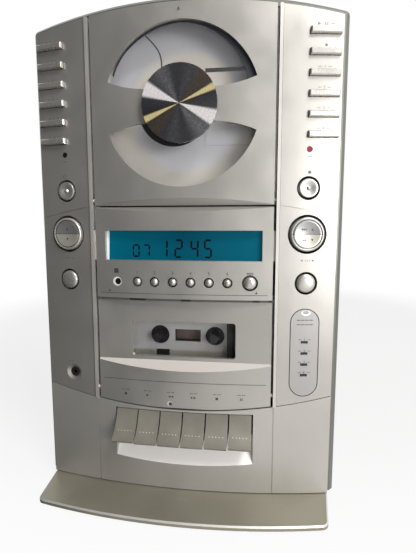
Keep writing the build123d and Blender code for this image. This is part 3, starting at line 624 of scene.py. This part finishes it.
# Pieces made from points
def mesh_piece(name, vertices, faces, material, body):
    data = bpy.data.meshes.new(name)
    data.from_pydata(vertices, [], faces)
    data.update()
    piece = bpy.data.objects.new(name, data)
    bpy.context.scene.collection.objects.link(piece)
    data.materials.append(material)
    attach(piece, body)
    return piece


INK_LIFT = 0.00007


def on_bow(x, z):
    """Point on the bowed front for a place in mm across and above the foot's top."""
    return (x * MM, bow_y(x * MM) - INK_LIFT, BODY_BOTTOM + z * MM)


def lifted(x, z):
    """Point just in front of a mark on the bowed front."""
    return tuple(Vector(on_bow(x, z)) - Vector((0, INK_LIFT, 0)))


def at_depth(depth):
    """A mapping onto a flat face at a depth in mm behind the front's middle."""
    def place(x, z):
        return (x * MM, FRONT_Y + depth * MM - INK_LIFT, BODY_BOTTOM + z * MM)
    return place


def flat_mark(name, outlines, body, material, where=on_bow):
    """Joins convex outlines of (x, z) points in mm into one flat mark, used for print and for painted
    highlights and shadows.
    """
    vertices = []
    faces = []
    for outline in outlines:
        start = len(vertices)
        vertices += [where(x, z) for x, z in outline]
        faces.append(tuple(range(start, start + len(outline))))
    return mesh_piece(name, vertices, faces, material, body)


def ellipse_outline(x, z, half_width, half_height, sides=20):
    turns = [2 * pi * step / sides for step in range(sides)]
    return [(x + half_width * cos(turn), z + half_height * sin(turn)) for turn in turns]


def disc_outline(x, z, radius, sides=20):
    return ellipse_outline(x, z, radius, radius, sides)


def box_outline(x, z, width, height):
    return [(x - width / 2, z - height / 2), (x + width / 2, z - height / 2),
            (x + width / 2, z + height / 2), (x - width / 2, z + height / 2)]


def triangle_outline(x, z, size, direction=1):
    half = size / 2
    return [(x - direction * half, z - half), (x + direction * half, z), (x - direction * half, z + half)]


def upright_triangle(x, z, size, direction=1):
    half = size / 2
    return [(x - half, z - direction * half), (x + half, z - direction * half), (x, z + direction * half)]


def crescent_outlines(hollow, hollow_radius, outer, outer_radius, start=0.0, sweep=2 * pi, sides=32):
    """Quads between an inner and an outer circle, given by their centres and radii."""
    turns = [start + sweep * step / sides for step in range(sides + 1)]
    near = [(hollow[0] + hollow_radius * cos(turn), hollow[1] + hollow_radius * sin(turn)) for turn in turns]
    far = [(outer[0] + outer_radius * cos(turn), outer[1] + outer_radius * sin(turn)) for turn in turns]
    return [[near[step], far[step], far[step + 1], near[step + 1]] for step in range(sides)]


def box_row(x, z, shifts, width, height):
    """Equal boxes at one height, given by their shifts from a place."""
    return [box_outline(x + shift, z, width, height) for shift in shifts]


def line_outlines(left, right, z, width, step=4.0):
    """A thin printed line, cut into short lengths so that it follows the bow."""
    count = round((right - left) / step)
    return [box_outline(left + (index + 0.5) * step, z, step, width) for index in range(count)]


def numeral_mark(name, text, x, z, size, body, material, where=on_bow):
    """A plain numeral laid on a surface, centred on a place."""
    curve = bpy.data.curves.new(name + "_outline", "FONT")
    curve.body = text
    curve.size = size
    curve.align_x = "CENTER"
    curve.align_y = "CENTER"
    curve.resolution_u = 3
    holder = bpy.data.objects.new(name + "_outline", curve)
    flat = bpy.data.meshes.new_from_object(holder)
    vertices = [where(x + v.co.x, z + v.co.y) for v in flat.vertices]
    faces = [tuple(p.vertices) for p in flat.polygons]
    bpy.data.objects.remove(holder)
    bpy.data.meshes.remove(flat)
    bpy.data.curves.remove(curve)
    return mesh_piece(name, vertices, faces, material, body)


# Turned buttons: bodies of revolution about the bowed front's normal, as (radius, level) pairs in mm
ROCKER_PROFILE = (
    (0, 0.70), (2, 0.75), (4, 0.88), (6, 1.10), (8.2, 1.42), (9.2, 1.58), (9.5, 1.45), (9.6, 1.0),
    (9.9, 1.0), (10.0, 1.3), (10.3, 1.5), (10.7, 1.5), (11.1, 1.3), (11.45, 0.9), (11.65, 0.4),
    (11.7, -0.2), (11.7, -4.0))
DOME_PROFILE = (
    (0, 1.6), (1.5, 1.57), (3, 1.45), (4.4, 1.2), (5.4, 0.85), (6.1, 0.4), (6.4, 0.0), (6.5, -0.5),
    (6.5, -4.0))
DISHED_PROFILE = (
    (0, 0.75), (0.5, 0.68), (0.9, 0.45), (1.15, 0.05), (1.5, -0.3), (2.0, -0.25), (3.2, 0.15), (4.6, 0.55),
    (5.6, 0.7), (6.1, 0.6), (6.4, 0.2), (6.5, -0.4), (6.5, -4.0))
PRESET_PROFILE = (
    (0, 1.5), (0.8, 1.42), (1.5, 1.15), (2.1, 0.65), (2.5, 0.1), (2.7, -0.5), (2.8, -1.2), (2.8, -3.6))
MODE_PROFILE = (
    (0, 1.5), (1.4, 1.43), (2.6, 1.15), (3.5, 0.7), (4.1, 0.15), (4.5, -0.5), (4.6, -1.2), (4.6, -3.6))
SHARP_ANGLE = radians(34)
# The groove of a rocker, painted dark as painted shade, in metres
GROOVE_INNER = 0.00950
GROOVE_OUTER = 0.01002


def turned(node, x, z, profile, material, sides=72):
    """A body of revolution that takes the place of a button's node."""
    origin, across, out = bow_place(x, z)
    upward = Vector((0, 0, 1))
    vertices = [origin + out * profile[0][1] * MM]
    for radius, level in profile[1:]:
        for step in range(sides):
            turn = 2 * pi * step / sides
            spoke = across * cos(turn) + upward * sin(turn)
            vertices.append(origin + spoke * radius * MM + out * level * MM)
    faces = []
    for step in range(sides):
        beside = (step + 1) % sides
        faces.append((0, 1 + step, 1 + beside))
        for ring in range(len(profile) - 2):
            first = 1 + ring * sides
            faces.append((first + step, first + sides + step, first + sides + beside, first + beside))
    last = 1 + (len(profile) - 2) * sides
    faces.append(tuple(last + step for step in reversed(range(sides))))
    piece = mesh_piece(node + "_turned", vertices, faces, material, node)
    piece.data.polygons.foreach_set("use_smooth", [True] * len(faces))
    piece.data.set_sharp_from_angle(angle=SHARP_ANGLE)
    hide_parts(node)
    return piece


def turned_face(x, z, profile):
    """A mapping onto a turned button's face for places in mm from its centre."""
    origin, sideways, out = bow_place(x, z)

    def place(across, upward):
        radius = hypot(across, upward)
        level = profile[-1][1]
        for (near, near_level), (far, far_level) in zip(profile, profile[1:]):
            if near <= radius <= far and far > near:
                level = near_level + (far_level - near_level) * (radius - near) / (far - near)
                break
        point = origin + sideways * across * MM + Vector((0, 0, upward * MM))
        return tuple(point + out * (level * MM + INK_LIFT))
    return place


# Places of the turned buttons, in mm
CONTROL_X = 86.0
POWER_Z = 220.6
ROCKER_Z = 189.7
ROUND_BUTTON_Z = 156.1
PRESET_Z = 156.0
PRESET_PLACES = (-32.2, -19.5, -6.4, 6.4, 19.3, 32.2)
MODE_X = 47.8
# The line across a rocker, the heights of its arrows and the places of the symbols on the right one
ROCKER_LINE_REACH = 11.4
ARROW_HIGH = 3.6
ARROW_LOW = -3.9
SYMBOL_HIGH = 3.3
SKIP_PLACES = (-3.3, -1.9)
SKIP_MIDDLE = -2.6
SKIP_BAR_SHIFT = 1.7
PLAIN_ARROW_X = 3.2


def rocker_paint():
    """Silver ring about a groove of painted shade, with painted shade on the upper half inside it (grey) and
    painted light on the lower half (cream).
    """
    paint = Paint("rocker_paint").set(Metallic=0.6, Coat_Weight=0.12, Coat_Roughness=0.25)
    across = paint.maths("SUBTRACT", paint.maths("ABSOLUTE", paint.axis("X")), CONTROL_X * MM)
    upward = paint.maths("SUBTRACT", paint.axis("Z"), BODY_BOTTOM + ROCKER_Z * MM)
    radius = paint.distance(across, upward)
    # Painted shade on the dish's upper half and painted light on its lower half, as for light falling from
    # above
    upper = paint.maths("GREATER_THAN", upward, 0.0)
    halves = paint.blend(upper, (0.56, 0.54, 0.47), (0.30, 0.30, 0.305))
    ring = paint.maths("GREATER_THAN", radius, GROOVE_INNER)
    tone = paint.blend(ring, halves, (0.56, 0.545, 0.51))
    # Painted shade in the groove
    groove = paint.maths("MULTIPLY", ring, paint.maths("LESS_THAN", radius, GROOVE_OUTER))
    tone = paint.blend(groove, tone, (0.03, 0.03, 0.03))
    flakes = paint.ramp(paint.noise(5200, 1), 0, 0.12, 0.5, 0.75)
    paint.colour(paint.blend(flakes, tone, (0.8, 0.8, 0.78))).rough(46, 5, 0.26, 0.36)
    return paint.material


def skip_symbols():
    """Skip and scan symbols above and below the middle of the right rocker."""
    outlines = []
    for level, direction in ((SYMBOL_HIGH, 1), (ARROW_LOW, -1)):
        outlines += [triangle_outline(across, level, 1.5, direction) for across in SKIP_PLACES]
        outlines.append(box_outline(SKIP_MIDDLE + SKIP_BAR_SHIFT * direction, level, 0.4, 1.5))
        outlines.append(upright_triangle(PLAIN_ARROW_X, level, 1.6, direction))
    return outlines


def make_buttons(material, ink):
    rocker_material = rocker_paint()
    line = line_outlines(-ROCKER_LINE_REACH, ROCKER_LINE_REACH, 0, 0.3, 0.3)
    faces = {}
    for side, name in ((-1, "left"), (1, "right")):
        x = side * CONTROL_X
        rocker = name + "_rocker"
        turned(rocker, x, ROCKER_Z, ROCKER_PROFILE, rocker_material, 96)
        faces[rocker] = turned_face(x, ROCKER_Z, ROCKER_PROFILE)
        flat_mark(rocker + "_line", line, rocker, ink, faces[rocker])
        turned(name + "_round_button", x, ROUND_BUTTON_Z, DOME_PROFILE, material)
    arrows = [upright_triangle(0, ARROW_HIGH, 1.8), upright_triangle(0, ARROW_LOW, 1.8, -1)]
    for rocker, symbols in (("left_rocker", arrows), ("right_rocker", skip_symbols())):
        flat_mark(rocker + "_mark", symbols, rocker, ink, faces[rocker])
    turned("power_button", -CONTROL_X, POWER_Z, DISHED_PROFILE, material)
    turned("sleep_button", CONTROL_X, POWER_Z, DISHED_PROFILE, material)
    for number, x in enumerate(PRESET_PLACES, 1):
        turned(f"preset_button_{number}", x, PRESET_Z, PRESET_PROFILE, material, 48)
    turned("mode_button", MODE_X, PRESET_Z, MODE_PROFILE, material, 56)


# Places of the printed marks, in mm across and above the foot's top
LINE_WIDTH = 0.35
BAR_PITCH = 12.9
LEFT_NUMBER = (-93.8, 323.6)
RIGHT_NUMBER = (94.4, 323.9)
TRANSPORT_MARK_Z = 324.2
POWER_MARK = (-86.6, 231.1)
POWER_RING = 1.25
SLEEP_MARK = (86.4, 231.0)
LAMP_MARK = (86.2, 241.3)
LEVEL_MARK = (-86.5, 172.0)
TUNING_MARK = (86.5, 171.8)
SOCKET_MARK = (-86.0, 93.2)
TICKS = (-1.4, 0.0, 1.4)


def print_marks(marks, body, ink):
    """Prints marks, given as names with their outlines, on the bowed front of a body."""
    for name, outlines in marks.items():
        flat_mark(name, outlines, body, ink)


def bar_mark(name, number, x, z, ink):
    """A small numeral between two dashes above a bar."""
    numeral_mark(name, str(number), x, z, 2.7, "chassis", ink)
    flat_mark(name + "_dashes", box_row(x, z, (-3.2, 3.2), 2.2, LINE_WIDTH), "chassis", ink)


def power_outlines():
    """An open ring of small dots with an upright stroke."""
    x, z = POWER_MARK
    turns = [pi * step / 6 for step in range(-7, 2)]
    ring = [disc_outline(x + POWER_RING * cos(turn), z + POWER_RING * sin(turn), 0.3, 8) for turn in turns]
    return ring + [box_outline(x, z + 1.1, 0.4, 1.6)]


def level_outlines():
    """A minus on the left, a plus on the right and ticks between them."""
    x, z = LEVEL_MARK
    signs = box_row(x, z, (-4.2, 4.2), 2.0, LINE_WIDTH) + box_row(x, z, (4.2,), LINE_WIDTH, 2.0)
    return signs + box_row(x, z, TICKS, LINE_WIDTH, 1.2)


def tuning_outlines():
    """Arrows that point outward on either side of ticks."""
    x, z = TUNING_MARK
    arrows = [triangle_outline(x + 4.0 * side, z, 1.6, side) for side in (-1, 1)]
    return arrows + box_row(x, z, TICKS, LINE_WIDTH, 1.2)


def wing_marks(ink):
    x, high = LEFT_NUMBER
    for row in range(6):
        bar_mark(f"left_bar_number_{row + 1}", row + 1, x, high - BAR_PITCH * row, ink)
    x, high = RIGHT_NUMBER
    top = TRANSPORT_MARK_Z
    play_pause = [triangle_outline(x - 4.5, top, 2.0), box_outline(x + 4.3, top, 2.6, LINE_WIDTH)]
    play_pause += box_row(x, top, (-0.6, 0.8), 0.6, 2.0)
    stop = [box_outline(x + 0.4, top - BAR_PITCH, 1.5, 1.5)]
    print_marks({"play_pause_mark": play_pause, "stop_mark": stop}, "chassis", ink)
    for row in range(2, 6):
        bar_mark(f"right_bar_number_{row + 1}", row - 1, x, high - BAR_PITCH * row, ink)
    print_marks({
        "power_mark": power_outlines(),
        "sleep_mark": [disc_outline(*SLEEP_MARK, 1.1)],
        "lamp_marks": box_row(0, LAMP_MARK[1], (-LAMP_MARK[0], LAMP_MARK[0]), 3.0, 0.4),
        "level_mark": level_outlines(),
        "tuning_mark": tuning_outlines(),
        "socket_mark": box_row(*SOCKET_MARK, (-3.0, 0.0, 3.0), 1.4, 0.4),
    }, "chassis", ink)


EQUALIZER_X = 86.2
EQUALIZER_SLOTS = (112.7, 104.6, 96.5, 88.8)
EQUALIZER_NUMBER_RISE = 3.5
TITLE_X = 86.0
TITLE_ROWS = (130.2, 127.0)
TITLE_SHIFTS = (-4.3, -1.4, 1.5, 4.4)
# A pale ring of painted highlight about a shallow scoop at the top of the equalizer plate, and painted shade
# in its middle, in mm
DIMPLE_HIGHLIGHT = (86.6, 135.2)
DIMPLE_SHADE = (86.6, 135.6)


def equalizer_marks(ink, pale, grey):
    for number, z in enumerate(EQUALIZER_SLOTS, 1):
        bar_mark(f"equalizer_number_{number}", number, EQUALIZER_X, z + EQUALIZER_NUMBER_RISE, ink)
    titles = [title for z in TITLE_ROWS for title in box_row(TITLE_X, z, TITLE_SHIFTS, 2.4, 0.5)]
    flat_mark("equalizer_title", titles, "chassis", ink)
    # Painted highlight, then painted shade in its middle
    flat_mark("equalizer_dimple_highlight", [ellipse_outline(*DIMPLE_HIGHLIGHT, 3.2, 1.8, 28)], "chassis", pale)
    middle = [ellipse_outline(*DIMPLE_SHADE, 2.2, 1.2, 24)]
    flat_mark("equalizer_dimple_shade", middle, "chassis", grey, lifted)


PRESET_NUMBER_Z = 162.4
MODE_LINES = (163.0, 162.0)
SENSOR_MARK = (-48.0, 163.6)
SENSOR_X = -46.7
SENSOR_Z = 155.9
ARROW_PLACES = (-53.5, 52.2)
ARROW_FOOT = 148.5
ARROW_TIP = 150.4
DISPLAY_LINE_Z = 147.5
LINE_REACH = 60
OPEN_MARK = (-0.6, 336.0)


def display_marks(ink, pale):
    for number, x in enumerate(PRESET_PLACES, 1):
        numeral_mark(f"preset_number_{number}", str(number), x, PRESET_NUMBER_Z, 3.2, "chassis", ink)
    lines = [box_outline(MODE_X, z, 4.6, 0.45) for z in MODE_LINES]
    sensor = [box_outline(*SENSOR_MARK, 3.3, 3.3)]
    print_marks({"mode_mark": lines, "sensor_mark": sensor}, "chassis", ink)
    # Painted highlight: a pale crescent on the left side of the sensor's rim
    rim = crescent_outlines((SENSOR_X, SENSOR_Z), 2.35, (SENSOR_X - 0.7, SENSOR_Z), 3.3)
    flat_mark("sensor_rim_highlight", rim, "chassis", pale)
    arrows = [[(x - 0.8, ARROW_FOOT), (x + 0.8, ARROW_FOOT), (x, ARROW_TIP)] for x in ARROW_PLACES]
    line = line_outlines(-LINE_REACH, LINE_REACH, DISPLAY_LINE_Z, LINE_WIDTH)
    print_marks({"display_arrows": arrows, "display_line": line}, "chassis", ink)
    x, z = OPEN_MARK
    eject = [upright_triangle(x, z, 1.6), box_outline(x, z - 1.4, 2.0, 0.4)]
    flat_mark("open_mark", eject, "disc_door", ink)


SEAM_REACH = 63
SEAM_Z = 143.3
SEAM_SLOTS = ((-38.0, -26.1), (-0.4, 6.6), (49.7, 54.7), (61.0, 63.0))


def seam_slots(dark, ink):
    """Dark gap between the display and the cassette door, with blacker places along it."""
    flat_mark("seam_gap", line_outlines(-SEAM_REACH, SEAM_REACH, SEAM_Z, 1.5), "chassis", dark)
    slots = []
    for left, right in SEAM_SLOTS:
        slots += line_outlines(left, right, SEAM_Z, 1.4, (right - left) / 2)
    flat_mark("seam_slots", slots, "chassis", ink, lifted)


KEY_MARK_Z = 72.0
KEY_DASH_Z = 75.2
KEY_DASH_SHIFTS = (-1.6, 1.6)
KEY_MIDDLES = (-43, -26, -8.6, 8.2, 25.1, 42.6)
MICROPHONE = (-9.0, 66.5)
MICROPHONE_RIM_HIGHLIGHT = (-9.35, 66.7)
DOOR_LINE_Z = 83.0


def key_marks(ink, pale):
    record, play, rewind, forward, stop, pause = KEY_MIDDLES
    z = KEY_MARK_Z
    dashes = []
    for x in KEY_MIDDLES:
        dashes += box_row(x, KEY_DASH_Z, KEY_DASH_SHIFTS, 2.4, LINE_WIDTH)
    print_marks({
        "record_mark": [disc_outline(record, z, 1.0)],
        "play_mark": [triangle_outline(play, z, 1.9)],
        "rewind_mark": [triangle_outline(rewind + shift, z, 1.8, -1) for shift in (-1.0, 1.0)],
        "forward_mark": [triangle_outline(forward + shift, z, 1.8) for shift in (-1.0, 1.0)],
        "stop_key_mark": [box_outline(stop, z, 1.8, 1.8)],
        "pause_mark": box_row(pause, z, (-0.6, 0.6), 0.6, 1.9),
        "key_dashes": dashes,
    }, "cassette_door", ink)
    # Painted shade: the hole is a flat black disc; painted highlight: a pale crescent on its left inner wall
    flat_mark("microphone_hole_shade", [disc_outline(*MICROPHONE, 1.35)], "cassette_door", ink, lifted)
    rim = crescent_outlines(MICROPHONE, 1.3, MICROPHONE_RIM_HIGHLIGHT, 1.75)
    flat_mark("microphone_rim_highlight", rim, "cassette_door", pale)
    line = line_outlines(-LINE_REACH, LINE_REACH, DOOR_LINE_Z, LINE_WIDTH)
    flat_mark("door_line", line, "cassette_door", ink)


# Painted shadows on the disc door's panes and a line on the floor of the well, in mm
PANE_DEPTH = 2.9
WINDOW_SHADOW_OUTER = (0.3, 280.6)
WINDOW_SHADOW_OUTER_RADIUS = 51.6
WINDOW_SHADOW_INNER = (-1.9, 279.9)
WINDOW_SHADOW_INNER_RADIUS = 48.5
WINDOW_SHADOW_START = radians(14)
WINDOW_SHADOW_SWEEP = radians(146)
HUB_INNER = 21.0
HUB_SHADOW = (-4.6, 274.3)
HUB_SHADOW_RADIUS = 25.2
EDGE_HALF_WIDTH = 0.5
WELL_EDGE = (
    (-28.9, 329.2), (-25.8, 326.2), (-22.6, 322.8), (-19.9, 319.2), (-18.2, 315.6), (-17.3, 311.4),
    (-17.1, 306.4))


def on_pane(x, z):
    """Point just in front of the disc door's panes."""
    return (x * MM, bow_y(x * MM) + PANE_DEPTH * MM, BODY_BOTTOM + z * MM)


def well_shapes(ink):
    """Painted shadow of the hub, painted shadow along the upper rim of the panes, and a bent line on the
    floor of the well.
    """
    hub = (HUB_X / MM, (HUB_Z - BODY_BOTTOM) / MM)
    # Painted shadow: a dark crescent at the hub's lower left
    hub_shadow_outlines = crescent_outlines(hub, HUB_INNER, HUB_SHADOW, HUB_SHADOW_RADIUS, pi, 0.9 * pi)
    flat_mark("hub_painted_shadow", hub_shadow_outlines, "disc_door", ink, on_pane)
    # Painted shadow: a dark band inside the upper rim of the panes, widest on the right
    rim = crescent_outlines(WINDOW_SHADOW_INNER, WINDOW_SHADOW_INNER_RADIUS, WINDOW_SHADOW_OUTER, WINDOW_SHADOW_OUTER_RADIUS, WINDOW_SHADOW_START, WINDOW_SHADOW_SWEEP)
    flat_mark("window_rim_shadow", rim, "disc_door", ink, on_pane)
    outlines = []
    for (x0, z0), (x1, z1) in zip(WELL_EDGE, WELL_EDGE[1:]):
        scale = EDGE_HALF_WIDTH / hypot(x1 - x0, z1 - z0)
        u = (z0 - z1) * scale
        v = (x1 - x0) * scale
        outlines.append([(x0 - u, z0 - v), (x1 - u, z1 - v), (x1 + u, z1 + v), (x0 + u, z0 + v)])
    flat_mark("well_edge", outlines, "chassis", ink, at_depth(WELL_FLOOR / MM))


# Seven-segment digits on the display
SEGMENTS = {"0": "abcdef", "1": "bc", "2": "abged", "4": "fgbc", "5": "afgcd", "7": "abc"}
LEAN = 0.03
# Digits with their places across, the height of their feet, and their width, height and stroke
SMALL_DIGITS = (("0", -36.4), ("7", -28.8))
SMALL_FOOT = 173.8
SMALL_SIZE = (4.2, 8.0, 1.2)
LARGE_DIGITS = (("1", -16.5), ("2", -5.6), ("4", 5.8), ("5", 15.4))
LARGE_FOOT = 173.4
LARGE_SIZE = (4.7, 12.0, 1.4)
LIT_END_WALL = ((-58.2, 171.0), (-54.6, 171.0), (-53.9, 192.1), (-58.0, 192.1))


def digit_outlines(digit, x, z, width, height, stroke):
    """Segments of one digit whose lower left corner is at a place."""
    half = height / 2
    tip = stroke / 2
    gap = stroke * 0.15
    levels = {"a": height, "g": half, "d": 0.0}
    outlines = []
    for name in SEGMENTS[digit]:
        if name in levels:
            level = levels[name]
            right = width - gap
            corners = [(gap, level), (gap + tip, level + tip), (right - tip, level + tip),
                       (right, level), (right - tip, level - tip), (gap + tip, level - tip)]
        else:
            column = width if name in "bc" else 0.0
            low = gap + (half if name in "bf" else 0.0)
            high = low + half - 2 * gap
            corners = [(column, low), (column + tip, low + tip), (column + tip, high - tip),
                       (column, high), (column - tip, high - tip), (column - tip, low + tip)]
        outlines.append([(x + u + LEAN * v, z + v) for u, v in corners])
    return outlines


def display_digits():
    """The digits, and a pale sheet of painted light for the end wall seen beside them."""
    ink = ink_paint("display_ink", (0.001, 0.004, 0.010))
    ink.node_tree.nodes["Principled BSDF"].inputs["Specular IOR Level"].default_value = 0.1
    where = at_depth((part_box("lcd_module")[0][1] - FRONT_Y) / MM)
    outlines = []
    for digit, x in SMALL_DIGITS:
        outlines += digit_outlines(digit, x, SMALL_FOOT, *SMALL_SIZE)
    for digit, x in LARGE_DIGITS:
        outlines += digit_outlines(digit, x, LARGE_FOOT, *LARGE_SIZE)
    flat_mark("display_digits", outlines, "chassis", ink, where)
    # Painted light: a pale sheet at the display's depth stands for the end wall lit from the right
    wall = ink_paint("display_end_wall", (0.55, 0.60, 0.64))
    flat_mark("display_end_light", [LIT_END_WALL], "chassis", wall, where)


# Rows of tiny dots on the keys
DOT_HEIGHT = 46.7
DOT_RADIUS = 0.27
DOT_SHIFTS = (-4.8, -2.4, 0.0, 2.4, 4.8)
RAY_START = 0.1


def face_places(node_name):
    """A mapping onto the front of a node's own mesh for places in mm."""
    node = nodes[node_name]
    points = [node.matrix_world @ vertex.co for vertex in node.data.vertices]
    tree = BVHTree.FromPolygons(points, [tuple(face.vertices) for face in node.data.polygons])

    def place(x, z):
        start = Vector((x * MM, FRONT_Y - RAY_START, BODY_BOTTOM + z * MM))
        hit = tree.ray_cast(start, Vector((0, 1, 0)))[0]
        return (start.x, hit.y - 2 * INK_LIFT, start.z)
    return place


def key_dots():
    pale = silver_paint("key_dot", (0.85, 0.84, 0.78), 0.2, 0.35, 0.4)
    for name in ("record", "play", "rewind", "forward", "stop", "pause"):
        low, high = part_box(name + "_key")
        middle = (low[0] + high[0]) / 2 / MM
        dots = [disc_outline(middle + shift, DOT_HEIGHT, DOT_RADIUS, 10) for shift in DOT_SHIFTS]
        flat_mark(name + "_key_dots", dots, name + "_key", pale, face_places(name + "_key"))


# The whole picture
make_camera()
make_world()
make_stage()
area_light("key_light", place=(0.55, -0.62, 1.1), target=(0.0, 0.0, 0.12), size=(0.4, 0.4),
           power=11, colour=(1.0, 0.975, 0.94))
area_light("side_light", place=(0.85, -0.95, 0.30), target=(0.05, 0.0, 0.15), size=(0.45, 0.45),
           power=7, colour=(1.0, 0.985, 0.96))
button_paint = silver_paint("silver_button", (0.56, 0.545, 0.51), 0.75, 0.27, 0.5)
dress_nodes(button_paint)
ink = ink_paint("printing_ink", (0.035, 0.035, 0.035))
faint_ink = ink_paint("faint_ink", (0.12, 0.115, 0.11))
# Pale paint for the painted highlights on the rims of the sensor and the microphone hole
rim_highlight_paint = silver_paint("pale_rim_highlight", (0.85, 0.83, 0.79), 0.2, 0.35, 0.4)
make_buttons(button_paint, ink)
wing_marks(faint_ink)
# The pale and grey paints given here are the painted highlight and painted shade of the equalizer plate's
# scoop
equalizer_marks(ink, ink_paint("pale_highlight_paint", (0.85, 0.85, 0.85)), ink_paint("grey_shade_paint", (0.30, 0.30, 0.31)))
display_marks(ink, rim_highlight_paint)
key_marks(ink, rim_highlight_paint)
well_shapes(ink_paint("well_shadow_and_edge_paint", (0.01, 0.012, 0.018)))
display_digits()
key_dots()
seam_slots(ink_paint("seam_ink", (0.05, 0.048, 0.045)), ink_paint("slot_ink", (0.004, 0.004, 0.004)))

bpy.context.scene.view_settings.view_transform = "Standard"
